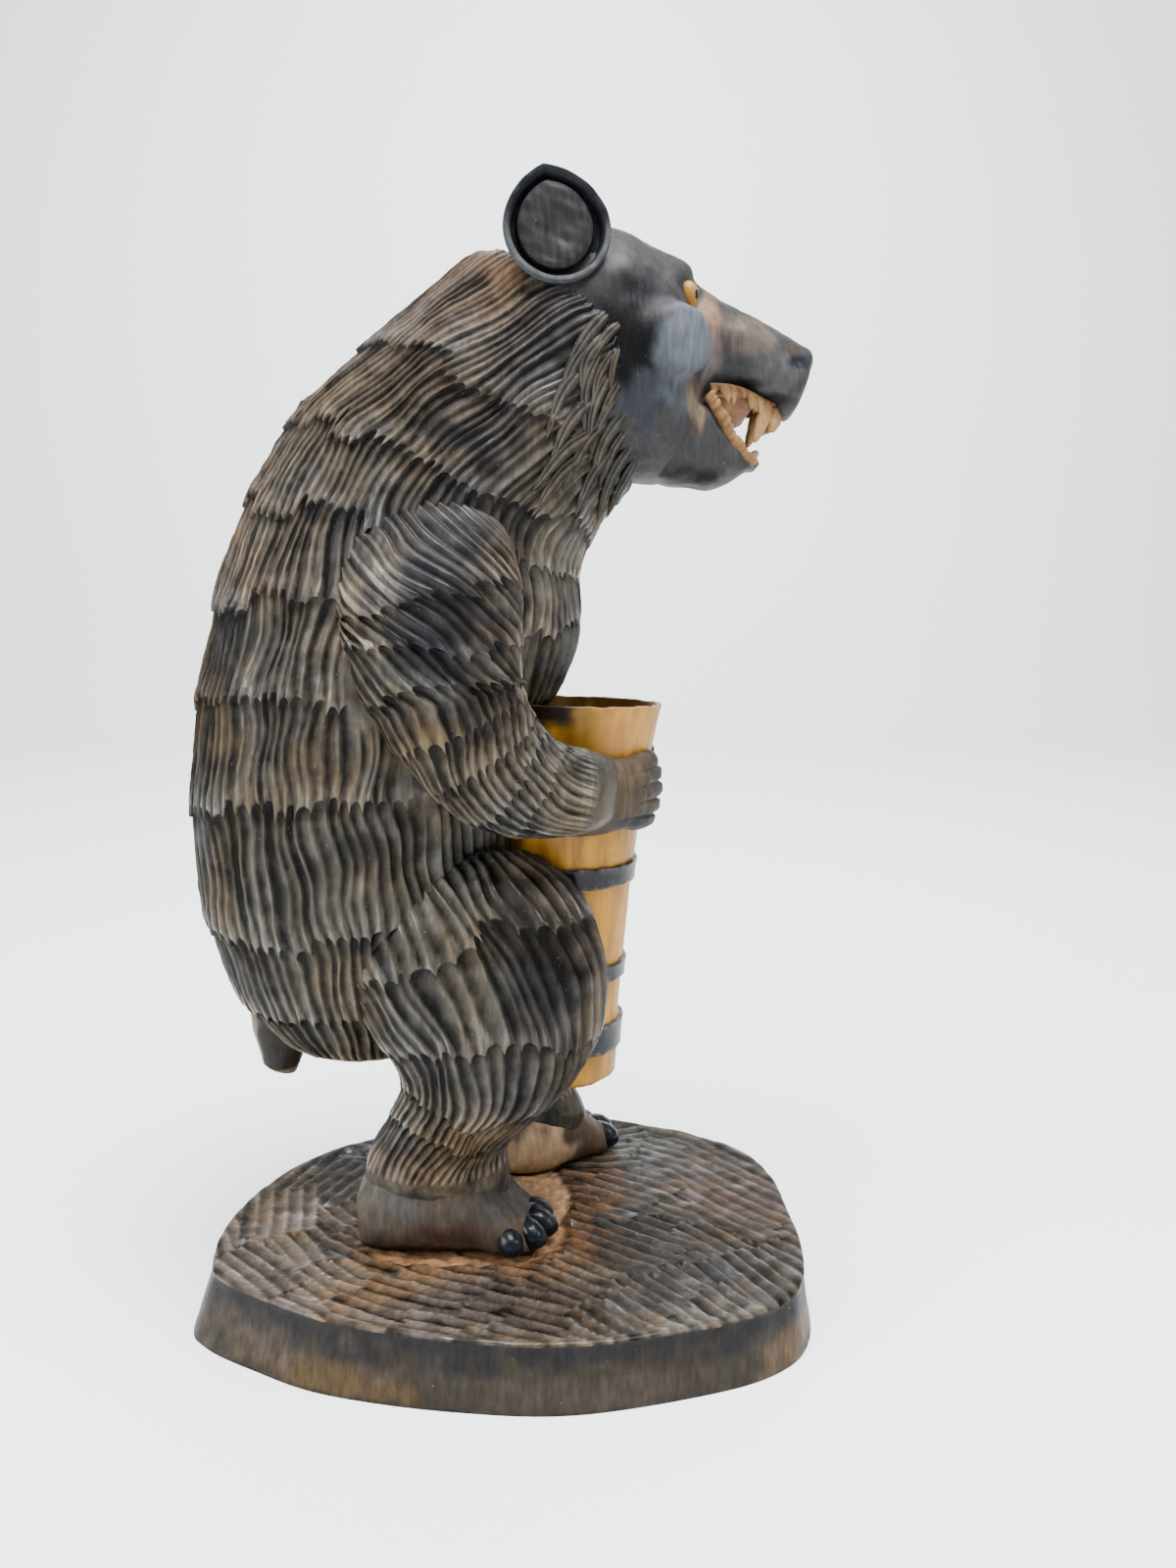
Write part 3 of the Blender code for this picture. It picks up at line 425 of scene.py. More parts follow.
PAW_ARC = (102, 13)                      # degrees from straight ahead where it starts and ends
PAW_HALF = (5.2, 10.4)
PAW_LOW = np.array([0.0, 0.0, 2.6])      # how much lower than the tub's grip the paws lie
FINGERS = 5
LONGEST_FINGER = 1.6
NOTCH = 6.5                              # depth of the notches between the tips, in degrees
NICK = (0.70, 0.012, 2.1, 0.5, 0.6)      # place, half width, finger, reach and depth of a nick
PAW_SQUARE = 0.8                         # how boxy its section is
FINGER_SHORTER, FINGER_POWER = 3.0, 1.3  # degrees by which the fingers beside it are shorter
GROOVE, GROOVE_FROM, GROOVE_OPENS = 1.0, 0.55, 0.35    # between fingers: depth, start and length
BLUNT_FROM, BLUNTEST = 0.90, 0.45        # where the tips round off, and how thick they stay
PAW_SWELL, PAW_THINS = 1.6, 0.42         # thicker at its side, and thinner towards the tips
PAW_PROUD = (1.2, 1.0)                   # how far off the tub its middle lies, and more at the tips
PAW_WAIST = (0.10, 0.62, 0.16)           # how much it narrows, at which place and over what reach
CLAWS = (                                # x, distance from the middle, and degrees outwards
    (0.6, 25.4, 58), (6.2, 21.6, 32), (8.8, 15.8, 6), (7.4, 9.8, -20),
)
CLAW_ROUTE = ((-5.5, 6.4, 1.9), (-1.5, 6.0, 3.1), (1.6, 3.9, 3.6), (3.2, 0.8, 2.6))
TOE = (4.5, 1.9, 4.5, 1.6)               # reach along, across and up of a toe, and its height
TOE_PLACE = (2.5, 0.5, 5.5)              # how far behind and inside its claw it lies, and how high

FOOT_TINT = (
    (0, 0, 12, 200, 200, 16, 1.95, 1.66, 1.42, 0.95),
    (-34, -22, 14, 14, 16, 10, 2.3, 2.15, 1.85, 0.8),
)
FOOT_PAINT = (
    (-12, -28, 7, 14, 8, 4, 0.035, 0.014, 0.008, 0.7),
    (16, 24, 4, 10, 8, 7, 0.070, 0.043, 0.033, 0.9),
    # painted shadow: near-black on the lowest band of both feet, for the dark undercut beneath them
    (0, 0, -2, 200, 200, 3.4, 0.003, 0.002, 0.002, 0.95),
    # bare wood of the far foot's inner side, painted much lighter than the wood to stand for the
    # light that falls there
    (6, 19, 6, 15, 11, 13, 0.50, 0.34, 0.20, 0.92),
)
PAW_TINT = ((24, -28, 133, 22, 16, 16, 1.80, 1.58, 1.36, 0.95),)
# painted shade: dark lines at the paw's top and lower edges, where it lies against the tub
PAW_SHADE = (
    (32, -24, 140.5, 8, 12, 2.2, 0.006, 0.006, 0.007, 0.8),
    (36, -24, 120.5, 6, 12, 2.6, 0.006, 0.006, 0.007, 0.9),
)
TAIL_TINT = ((-64, 0, 60, 30, 30, 30, 0.6, 0.55, 0.5, 0.9),)
TAIL_PAINT = (
    (-73.5, 0, 54, 3.2, 20, 12, 0.30, 0.22, 0.14, 0.85),
    (-66, 0, 43, 9, 20, 2.6, 0.22, 0.16, 0.10, 0.7),
)

TUB_HEIGHT = 106.0
TUB_RIM, TUB_FOOT_RADIUS = 25.5, 15.2
TUB_TAPER = 5.07                         # how much of its widening is even from foot to rim
FOOT_RING = (19.8, 0.6)                  # the thicker ring round its foot: height and how proud
TUB_WALL, TUB_FLOOR, TUB_EDGE = 2.4, 5.0, 2.0
TUB_LIP = 1.5                            # thickness of the wall at the rim
RIM_CHIP = 0.18                          # how far its uneven edge dips
RIM_RISE = (1.3, 1.2)                    # how much the rim is higher, and more so on its right
TUB_LEAN = math.radians(1.6)
TUB_FLARE = 3.5
GRIP = (16.9, 130.5)
GRIP_SHARE = 0.825
HOOP_PLACES = (0.135, 0.315, 0.580)
HOOP_WIDTHS = (8.5, 4.8, 6.0)
HOOP_PROUD = 0.9
HOOP_SQUARE = 0.35                       # how boxy its section is
HOOP_WORN, HOOP_WORN_FADE = 0.46, 0.5    # worn at this share of its width, and over what reach
HOOP_EDGE = 0.2                          # how far its worn edges stand up
TUB_RINGS, TUB_COLUMNS = (70, 40), 180   # rings outside and inside
TUB_HEART = 0.3                          # radius of its smallest rings, which fans close
LIP_DEEP, RIM_BAND = 8.0, 5.0            # how far down the thin lip and the chips reach
TUB_PAINT = (
    # painted shade: dark brown over the far half of the rim and inside the hollow
    (30, 14, 146, 40, 22, 9, 0.07, 0.032, 0.008, 0.85),
    (20, -24, 146, 8, 12, 10, 0.17, 0.082, 0.004, 0.9),
    (33, -22, 143, 9, 14, 9, 0.36, 0.17, 0.035, 0.4),
    (6, -20, 149, 13, 20, 7.5, 0.008, 0.005, 0.004, 0.97),
    (17, -24, 152.5, 8, 12, 2.6, 0.010, 0.006, 0.005, 0.9),
    (-8, 0, 135, 17, 40, 22, 0.010, 0.006, 0.004, 0.97),
    (12, -22, 119, 14, 14, 3, 0.16, 0.08, 0.012, 0.6),
)

PLINTH_LENGTH, PLINTH_WIDTH = 163.5, 131.0
PLINTH_FLARE, PLINTH_SPREAD, PLINTH_BEVEL = 1.6, 4.0, 1.2
WORN_CORNER = (-0.6, -0.8)               # direction in which its foot spreads most
PLINTH_OUTLINE = (
    (1.00, 0.00), (0.97, 0.36), (0.86, 0.63), (0.60, 0.84), (0.21, 0.99), (-0.20, 0.92),
    (-0.57, 0.74), (-0.80, 0.52), (-0.94, 0.21), (-1.00, -0.14), (-0.975, -0.45),
    (-0.90, -0.58), (-0.74, -0.71), (-0.50, -0.86), (-0.13, -0.97), (0.24, -1.00),
    (0.66, -0.88), (0.88, -0.74), (0.98, -0.55), (1.01, -0.26),
)
# Places on the plinth's top and the direction of the strokes there, in degrees
STROKES = (
    (-74, 15, 63), (-60, 14, 63), (-76, -25, -68), (-71, -12, -69), (-67, -30, -48),
    (-68, -40, -36), (-45, -37, -44), (-53, -50, -30), (-24, -44, -19), (-21, -53, -17),
    (2, -55, -12), (-2, -44, -21), (28, 12, -36), (27, 0, -38), (25, -16, -26),
    (49, -2, -31), (46, -12, -37), (65, -32, -66), (49, -45, -73), (42, -31, -46),
    (40, -42, -43), (67, -20, -51), (71, -13, -53), (-20, -30, -23), (30, 45, 20),
    (-20, 50, 10), (60, 25, -60), (0, 20, 0),
)
# Fans of strokes: spacing of the fans, strokes in one, their pitch, length and depth
FAN_SPACING = (23.0, 18.0)
FAN_STROKES, STROKE_PITCH, STROKE_LENGTH, STROKE_DEPTH = 5, 4.3, 29.0, 0.95
FAN_ROWS, FAN_COLUMNS = range(-4, 5), range(-5, 6)
FAN_STRAY = 2.5                          # how far a fan lies off its place
STROKE_SLIDE, STROKE_BEND = 2.5, 0.006   # how far a stroke is moved along, and how it bends
STROKE_BITES = (0.75, 1.1)               # the strokes' depths, as shares
STROKE_ROUND, STROKE_ENTRY, STROKE_RUN_OUT = 0.05, 0.10, 0.45
STROKE_BOWL = 2.4                        # how flat the bottom of a scoop is
UNCUT_DEPTH, UNCUT_LIGHT = 0.5, 0.3      # what lies between the fans
# The recess cut round the near foot: x, y and reach of overlapping ovals, and its depth
RECESS = ((-19, -14.5, 25, 14.5), (-2, -11, 18.5, 18.5), (6, 8, 12, 20), (4, 28, 10, 14))
RECESS_DEPTH = 2.0
RECESS_PAINT = (
    (0, 0, -3, 200, 200, 40, 0.260, 0.140, 0.068, 1.0),
    (10, 16, -3, 14, 26, 40, 0.50, 0.310, 0.170, 0.9),
    # painted shade: darker bare wood under and round the near foot, for the shadow of its undercut
    (-16, -14, -3, 26, 12, 40, 0.080, 0.040, 0.019, 0.8),
)
RECESS_COVER = 0.92                      # how strongly its bare wood covers the stain
RECESS_EDGE, RECESS_SLOPE, RECESS_RAGGED = 1.08, 0.22, 0.2    # in shares of its ovals' reach
CALM_TOP = 0.75                          # how much shallower the scoops are in the smooth place
TOP_UNEVEN = 0.15
SIDE_UNEVEN, SIDE_LIGHT = 0.25, 0.18     # how far the side is worn, and how light its stain is
SMOOTH_TOP = (62, 22, 24, 34)            # where the top stays nearly smooth
PLINTH_COLUMNS = 560
UNDERSIDE_RINGS = (0.02, 0.5, 0.97)      # shares of the way out from the underside's middle
PLINTH_RINGS = (14, 5, 100)              # rings of the side, the bevel and the top
PLINTH_TINT = (
    (-66, -20, 0, 34, 54, 30, 1.55, 1.32, 1.18, 0.9),
    (-30, -52, 0, 40, 22, 30, 1.25, 1.00, 0.86, 0.8),
    (-8, -14, 0, 42, 34, 30, 1.6, 1.05, 0.72, 0.7),
    (26, 0, 0, 16, 30, 30, 1.9, 1.15, 0.72, 0.85),
    (10, -50, 0, 34, 18, 30, 0.54, 0.49, 0.49, 0.85),
    (42, -20, 0, 22, 34, 30, 0.33, 0.37, 0.48, 0.9),
    (66, 15, 0, 22, 40, 30, 0.64, 0.46, 0.40, 0.9),
    (68, -32, 0, 20, 22, 30, 0.42, 0.45, 0.53, 0.85),
)
SIDE_PAINT = (
    (0, 0, -14, 300, 300, 18, 0.020, 0.0158, 0.0115, 0.9),
    (-40, -50, -15, 22, 30, 6, 0.054, 0.034, 0.013, 0.75),
    (-64, -40, -9, 16, 30, 7, 0.045, 0.033, 0.024, 0.7),
    (24, -60, -13, 34, 30, 5, 0.034, 0.025, 0.019, 0.6),
    (76, -30, -14, 17, 34, 9, 0.080, 0.050, 0.026, 0.75),
    (0, 0, 2, 300, 300, 11, 0.0065, 0.0072, 0.009, 0.85),
)


class BearSizes(bpy.types.PropertyGroup):
    """Sizes of the fine carving"""

    flute_depth: bpy.props.FloatProperty(
        name="Flute depth", description="Depth of the gouge cuts, as a share of the usual one",
        default=1.15, min=0.0, max=2.0, subtype="FACTOR")
    grain: bpy.props.FloatProperty(
        name="Grain", description="Height of the wood's fine grain", default=0.00012,
        min=0.0, max=0.001, unit="LENGTH")


class BearColours(bpy.types.PropertyGroup):
    """Colours of the stains, the paint and the bare wood"""

    cut: bpy.props.FloatVectorProperty(
        name="Cuts", description="Dark stain in the gouge cuts", subtype="COLOR",
        default=(0.0032, 0.0028, 0.0024), min=0.0, max=1.0)
    ridge: bpy.props.FloatVectorProperty(
        name="Ridges", description="Thinner stain on the ridges", subtype="COLOR",
        default=(0.112, 0.098, 0.079), min=0.0, max=1.0)
    smooth: bpy.props.FloatVectorProperty(
        name="Smooth skin", description="Stain on the smooth head, paws and feet",
        subtype="COLOR", default=(0.040, 0.036, 0.032), min=0.0, max=1.0)
    black: bpy.props.FloatVectorProperty(
        name="Black", description="Blue-black paint of hoops, claws and ear grooves",
        subtype="COLOR", default=(0.003, 0.0042, 0.0075), min=0.0, max=1.0)
    bare: bpy.props.FloatVectorProperty(
        name="Bare wood", description="Bare wood of teeth, mouth and recess",
        subtype="COLOR", default=(0.29, 0.172, 0.074), min=0.0, max=1.0)
    tub: bpy.props.FloatVectorProperty(
        name="Tub", description="Golden ochre stain of the tub", subtype="COLOR",
        default=(0.40, 0.185, 0.016), min=0.0, max=1.0)
    gold: bpy.props.FloatVectorProperty(
        name="Eyes", description="Gold paint of the eyes", subtype="COLOR",
        default=(0.35, 0.165, 0.018), min=0.0, max=1.0)
    floor: bpy.props.FloatVectorProperty(
        name="Floor", description="Pale floor and backdrop", subtype="COLOR",
        default=(0.80, 0.82, 0.83), min=0.0, max=1.0)


def sizes():
    """The scene's sizes."""
    return bpy.context.scene.carved_bear_sizes


def colours():
    """The scene's colours."""
    return bpy.context.scene.carved_bear_colours


def smoothstep(value):
    """0 below 0, 1 above 1, and 3v^2 - 2v^3 between."""
    value = np.clip(value, 0.0, 1.0)
    return value * value * (3.0 - 2.0 * value)


def unit(vectors):
    """The vectors at length 1."""
    return vectors / (np.linalg.norm(vectors, axis=-1, keepdims=True) + TINY)


def around(columns):
    """Angles of so many columns, evenly round a ring."""
    return np.arange(columns) / columns * math.tau


def rings(form):
    """Places 0 to 1 along a form, and angles round it, on the grid of its mesh."""
    rows, columns = FINENESS[form]
    return np.meshgrid(np.linspace(0, 1, rows), around(columns), indexing="ij")


def flow(stations, place):
    """Rows of the table at places 0 to 1, on a smooth cubic through every row."""
    stations = np.asarray(stations, float)
    last = len(stations) - 1
    slope = np.gradient(stations, axis=0)
    at = np.clip(place, 0.0, 1.0) * last
    index = np.minimum(at.astype(int), last - 1)
    f = (at - index)[..., None]
    start, end = stations[index], stations[index + 1]
    return (
        (2 * f**3 - 3 * f**2 + 1) * start
        + (f**3 - 2 * f**2 + f) * slope[index]
        + (3 * f**2 - 2 * f**3) * end
        + (f**3 - f**2) * slope[index + 1]
    )


def rounded(wave, square):
    """Sine or cosine raised to the power square, with its sign: below 1 is boxier."""
    return np.sign(wave) * np.abs(wave) ** square


def skin(ribs, place, turn, side=1.0, shift=0.0, square=1.0):
    """Points, in parts, of a form at places along it and turns round it.

    A point is the bar's middle + cos(turn) half the bar + sin(turn) the half width,
    set square to the bar and to the form's run; side mirrors the form in y, and shift
    moves it in x.
    """

    def middle(v):
        x0, z0, x1, z1, y = np.moveaxis(flow(ribs, v), -1, 0)[:5]
        return np.stack([(x0 + x1) / 2 + shift, y * side, (z0 + z1) / 2], -1)

    x0, z0, x1, z1, y, width, lead = np.moveaxis(flow(ribs, place), -1, 0)
    bar = np.stack([x1 - x0, np.zeros_like(y), z1 - z0], -1) / 2
    run = unit(middle(place + 1e-3) - middle(place - 1e-3))
    across = unit(np.cross(bar, run))
    c = rounded(np.cos(turn), square)[..., None]
    s = rounded(np.sin(turn), square)[..., None]
    points = middle(place) + c * bar + s * across * width[..., None]
    return points - run * (lead[..., None] * s**2)


def even_turns(ribs, share):
    """Angles at shares, 0 to 1, of the way round the form's middle section."""
    x0, z0, x1, z1, _, width, _ = ribs[len(ribs) // 2]
    half_bar = math.hypot(x1 - x0, z1 - z0) / 2
    fine = np.linspace(0.0, math.tau, 1441)
    step = np.hypot(half_bar * np.sin(fine), width * np.cos(fine))
    length = np.concatenate([[0.0], np.cumsum((step[1:] + step[:-1]) / 2)])
    return np.interp(share % 1.0, length / length[-1], fine)


def outward(grid):
    """Unit normals of a grid of rings, pointing away from the rings' middles."""
    across = np.roll(grid, -1, axis=1) - np.roll(grid, 1, axis=1)
    along = np.gradient(grid, axis=0)
    normal = unit(np.cross(across, along))
    away = grid - grid.mean(axis=1, keepdims=True)
    return normal * np.sign((normal * away).sum())


def wobble(points, size, seed, waves=14):
    """Smooth unevenness of about -1 to 1: a sum of sine waves in seeded directions."""
    draw = np.random.default_rng(seed)
    total = np.zeros(points.shape[:-1])
    for _ in range(waves):
        direction = draw.normal(size=3)
        direction *= draw.uniform(0.7, 1.5) * math.tau / size / np.linalg.norm(direction)
        total += np.sin(points @ direction + draw.uniform(0, math.tau))
    return total / math.sqrt(waves)


def mounds(points, table):
    """Sum of soft mounds: height * exp(-|offset / reach| squared), the same on both sides.

    The table's rows are x, |y|, z, the reach along each of them, and the height.
    """
    places = points * (1, 0, 1) + np.abs(points) * (0, 1, 0)
    total = np.zeros(points.shape[:-1])
    for row in table:
        offset = (places - row[:3]) / row[3:6]
        total += row[6] * np.exp(-(offset**2).sum(-1))
    return total


def patches(points, table):
    """Colour patches laid over each other: red, green, blue and cover at each point.

    The table's rows are x, y, z, the reach along each of them, the colour and how strongly
    it covers. A patch is full in its middle and fades out at its reach.
    """
    paint = np.zeros(points.shape[:-1] + (4,))
    for x, y, z, rx, ry, rz, red, green, blue, strength in table:
        offset = (points - (x, y, z)) / (rx, ry, rz)
        distance = np.sqrt((offset**2).sum(-1)) + 0.22 * wobble(points, 9.0, 71)
        cover = strength * smoothstep((1.15 - distance) / 0.6)[..., None]
        paint[..., :3] = paint[..., :3] * (1 - cover) + np.array((red, green, blue)) * cover
        paint[..., 3:] = paint[..., 3:] * (1 - cover) + cover
    paint[..., :3] /= np.maximum(paint[..., 3:], 1e-6)
    return paint


def ring_mesh(name, grid, marks, loop=False):
    """Closed mesh from a grid of rings in parts, with named values at its points.

    Quads join the rings. A fan closes each end, or the last ring joins the first if loop
    is true. The faces are turned so that the shell's volume is positive.
    """
    rows, columns = grid.shape[:2]
    points = grid.reshape(-1, 3)
    i, j = np.meshgrid(np.arange(rows if loop else rows - 1), np.arange(columns), indexing="ij")
    k, below = (j + 1) % columns, (i + 1) % rows
    quads = np.stack([i * columns + j, i * columns + k, below * columns + k,
                      below * columns + j], -1).reshape(-1, 4)
    fans = np.zeros((0, 3), int)
    if not loop:
        points = np.concatenate([points, grid[[0, -1]].mean(axis=1)])
        each = np.arange(columns)
        after = (each + 1) % columns
        base = (rows - 1) * columns
        top, tail = np.full(columns, rows * columns), np.full(columns, rows * columns + 1)
        fans = np.concatenate([np.stack([top, after, each], -1),
                               np.stack([tail, base + each, base + after], -1)])
    corners = np.concatenate([quads[:, [0, 1, 2]], quads[:, [0, 2, 3]], fans])
    a, b, c = points[corners.T]
    if (a * np.cross(b, c)).sum() < 0:
        quads, fans = quads[:, ::-1], fans[:, ::-1]
    mesh = bpy.data.meshes.new(name)
    mesh.vertices.add(len(points))
    world = points * UNIT + (0.0, 0.0, GROUND)
    mesh.vertices.foreach_set("co", world.astype(np.float32).ravel())
    corner = np.concatenate([quads.ravel(), fans.ravel()]).astype(np.int32)
    mesh.loops.add(len(corner))
    mesh.loops.foreach_set("vertex_index", corner)
    counts = np.concatenate([np.full(len(quads), 4), np.full(len(fans), 3)])
    mesh.polygons.add(len(counts))
    starts = np.concatenate([[0], np.cumsum(counts)[:-1]]).astype(np.int32)
    mesh.polygons.foreach_set("loop_start", starts)
    mesh.update(calc_edges=True)
    mesh.validate()
    for mark, values in marks.items():
        colour = values.ndim == 3
        if not loop:
            ends = values[[0, -1]].mean(axis=1)
            flat = np.concatenate([values.reshape((-1,) + values.shape[2:]), ends])
        else:
            flat = values.reshape((-1,) + values.shape[2:])
        kind, field = ("FLOAT_COLOR", "color") if colour else ("FLOAT", "value")
        layer = mesh.attributes.new(mark, kind, "POINT")
        layer.data.foreach_set(field, flat.astype(np.float32).ravel())
    mesh.shade_smooth()
    piece = bpy.data.objects.new(name, mesh)
    bpy.context.scene.collection.objects.link(piece)
    return piece


def dress(piece, material, sharp=None):
    """Gives a piece its finish and makes it stand for the solid."""
    piece.data.materials.append(material)
    if sharp is not None:
        piece.data.set_sharp_from_angle(angle=math.radians(sharp))
    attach(piece, "root")
    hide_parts(SOLID)
    return piece


COLOUR_A, COLOUR_B, COLOUR_OUT = 6, 7, 2     # the mix node's sockets for colours
WHITE = (1.0, 1.0, 1.0)
RUBBED = (0.08, 0.075, 0.065)                # thin paint on an edge


class Finish:
    """A material's nodes, added one at a time and linked by name."""

    def __init__(self, name):
        self.material = bpy.data.materials.new(name)
        self.material.use_nodes = True
        self.nodes = self.material.node_tree.nodes
        self.links = self.material.node_tree.links
        self.shader = self.nodes["Principled BSDF"]
        self.place = self.nodes.new("ShaderNodeTexCoord").outputs["Object"]

    def set(self, **values):
        """Plain values on the shader's own sockets, named in lower case."""
        for name, value in values.items():
            socket = self.shader.inputs[name.replace("_", " ").title().replace("Ior", "IOR")]
            socket.default_value = value

    def feed(self, socket, value):
        """Links a node's output to a socket, or sets the socket to a plain value."""
        if isinstance(value, bpy.types.NodeSocket):
            self.links.new(value, socket)
        elif isinstance(value, tuple):
            socket.default_value = tuple(value) + (1.0,)
        else:
            socket.default_value = value

    def attribute(self, name, output="Fac"):
        """A value stored at the mesh's points."""
        node = self.nodes.new("ShaderNodeAttribute")
        node.attribute_name = name
        return node.outputs[output]

    def noise(self, scale, detail=3.0, stretch=(1, 1, 1), rough=0.55):
        """Noise over Object coordinates, scale in waves to the metre, drawn out by stretch."""
        mapping = self.nodes.new("ShaderNodeMapping")
        mapping.inputs["Scale"].default_value = stretch
        self.links.new(self.place, mapping.inputs["Vector"])
        node = self.nodes.new("ShaderNodeTexNoise")
        node.inputs["Scale"].default_value = scale
        node.inputs["Detail"].default_value = detail
        node.inputs["Roughness"].default_value = rough
        self.links.new(mapping.outputs["Vector"], node.inputs["Vector"])
        return node.outputs["Fac"]

    def math(self, operation, a, b=0.0, clamp=False):
        """One operation on two values."""
        node = self.nodes.new("ShaderNodeMath")
        node.operation = operation
        node.use_clamp = clamp
        self.feed(node.inputs[0], a)
        self.feed(node.inputs[1], b)
        return node.outputs[0]

    def span(self, value, low, high, to_low=0.0, to_high=1.0):
        """The value's range low to high carried to another range, and held there."""
        node = self.nodes.new("ShaderNodeMapRange")
        self.feed(node.inputs["Value"], value)
        for name, number in (("From Min", low), ("From Max", high),
                             ("To Min", to_low), ("To Max", to_high)):
            node.inputs[name].default_value = number
        return node.outputs["Result"]

    def mix(self, factor, a, b, blend="MIX"):
        """Two colours mixed by a factor."""
        node = self.nodes.new("ShaderNodeMix")
        node.data_type = "RGBA"
        node.blend_type = blend
        self.feed(node.inputs["Factor"], factor)
        self.feed(node.inputs[COLOUR_A], a)
        self.feed(node.inputs[COLOUR_B], b)
        return node.outputs[COLOUR_OUT]

    def relief(self, height, distance, strength=1.0):
        """Bump from a height between 0 and 1."""
        node = self.nodes.new("ShaderNodeBump")
        node.inputs["Strength"].default_value = strength
        node.inputs["Distance"].default_value = distance
        self.links.new(height, node.inputs["Height"])
        self.links.new(node.outputs["Normal"], self.shader.inputs["Normal"])


def stained_finish(name, cut, ridge, gloss=0.36, wear=0.75, coat=0.95, streaks=0.3,
                   even=0.12, soft=0.16):
    """Dark stain under patchy varnish: thin on ridges, thick in cuts, with grain and specks.

    The attributes are exposure, how far a place stands out, which also carries the painted
    shading of the flutes and scoops; tone, its own shade; tint, which multiplies the stain
    and in places lays a painted sheen on it; and paint, which covers it, in places as painted
    shade and painted sheen. The varnish is as thin as even says between its glossy patches.
    """
    made = Finish(name)
    broad = made.noise(38.0, 4.0)
    middle = made.noise(170.0, 4.0)
    fine = made.noise(700.0, 4.0, (1, 1, 0.22))
    # worn: how far the colour goes from the cuts' stain to the ridges', from the ridges' wear and
    # from the painted shading that exposure carries
    worn = made.math("ADD", made.attribute("exposure"),
                     made.math("MULTIPLY", made.math("SUBTRACT", middle, 0.5), wear))
    worn = made.math("ADD", worn, made.math("MULTIPLY", made.attribute("tone"), 0.12), True)
    colour = made.mix(worn, cut, ridge)
    tint = made.mix(made.attribute("tint", "Alpha"), WHITE, made.attribute("tint", "Color"))
    colour = made.mix(1.0, colour, tint, "MULTIPLY")
    warm = made.mix(made.span(broad, 0.40, 0.60), (0.84, 0.92, 1.06), (1.14, 0.99, 0.80))
    colour = made.mix(1.0, colour, warm, "MULTIPLY")
    streak = made.mix(made.span(fine, 0.35, 0.70), (1 - streaks,) * 3, (1 + streaks,) * 3)
    colour = made.mix(1.0, colour, streak, "MULTIPLY")
    cover = made.math("MULTIPLY", made.attribute("paint", "Alpha"),
                      made.span(middle, 0.3, 0.6, 0.8, 1.0))
    paint = made.mix(1.0, made.attribute("paint", "Color"), streak, "MULTIPLY")
    colour = made.mix(cover, colour, paint)
    crumbs = made.noise(1300.0, 2.0)
    specks = made.span(crumbs, 0.73, 0.77, 0.0, 0.45)
    colour = made.mix(specks, colour, (0.20, 0.18, 0.15))
    made.feed(made.shader.inputs["Base Color"], colour)
    made.feed(made.shader.inputs["Roughness"], made.span(middle, 0.3, 0.7, gloss, gloss + 0.2))
    varnish = made.span(made.noise(95.0, 3.0), 0.48, 0.64, even, 1.0)
    made.feed(made.shader.inputs["Coat Weight"],
              made.math("MULTIPLY", varnish, made.span(worn, 0.15, 0.8, 0.0, coat)))
    made.set(specular_ior_level=0.09, coat_roughness=soft)
    height = made.math("ADD", fine, made.math("MULTIPLY", middle, 0.6))
    made.relief(made.math("ADD", height, made.math("MULTIPLY", crumbs, 0.5)), sizes().grain)
    return made.material


def bare_finish(name, colour, gloss=0.5, coat=0.0):
    """Wood with warm streaks along the grain and dark pores."""
    made = Finish(name)
    grain = made.noise(260.0, 5.0, (1, 1, 0.16))
    blotch = made.noise(90.0, 4.0)
    shade = made.mix(made.span(grain, 0.34, 0.60), tuple(0.5 * c for c in colour), colour)
    shade = made.mix(made.span(blotch, 0.52, 0.75, 0.0, 0.6), shade,
                     (colour[0] * 0.42, colour[1] * 0.32, colour[2] * 0.25))
    pores = made.span(made.noise(1400.0, 2.0, (1, 1, 0.3)), 0.66, 0.72, 0.0, 0.7)
    shade = made.mix(pores, shade, tuple(0.22 * c for c in colour))
    # painted shade: a low exposure darkens the wood, as at the teeth's roots and between them
    shade = made.mix(made.span(made.attribute("exposure"), 0.0, 0.4),
                     (colour[0] * 0.26, colour[1] * 0.20, colour[2] * 0.14), shade)
    shade = made.mix(made.attribute("paint", "Alpha"), shade, made.attribute("paint", "Color"))
    made.feed(made.shader.inputs["Base Color"], shade)
    made.feed(made.shader.inputs["Roughness"], made.span(grain, 0.3, 0.7, gloss, gloss + 0.2))
    made.set(specular_ior_level=0.15, coat_weight=coat, coat_roughness=0.25)
    made.relief(grain, sizes().grain * 1.5)
    return made.material


def painted_finish(name, colour, gloss=0.25, wear=0.35):
    """Thick glossy paint, worn thin in small spots."""
    made = Finish(name)
    grain = made.noise(420.0, 4.0, (1, 1, 0.4))
    shade = made.mix(made.span(grain, 0.58, 0.78, 0.0, wear), colour,
                     tuple(0.07 + 1.3 * c for c in colour))
    rubbed = made.math("MULTIPLY", made.attribute("exposure"), made.span(grain, 0.4, 0.6))
    shade = made.mix(rubbed, shade, RUBBED)
    made.feed(made.shader.inputs["Base Color"], shade)
    made.feed(made.shader.inputs["Roughness"], made.span(grain, 0.3, 0.7, gloss, gloss + 0.2))
    made.set(specular_ior_level=0.12, coat_weight=0.16, coat_roughness=0.14)
    made.relief(grain, sizes().grain * 0.8)
    return made.material


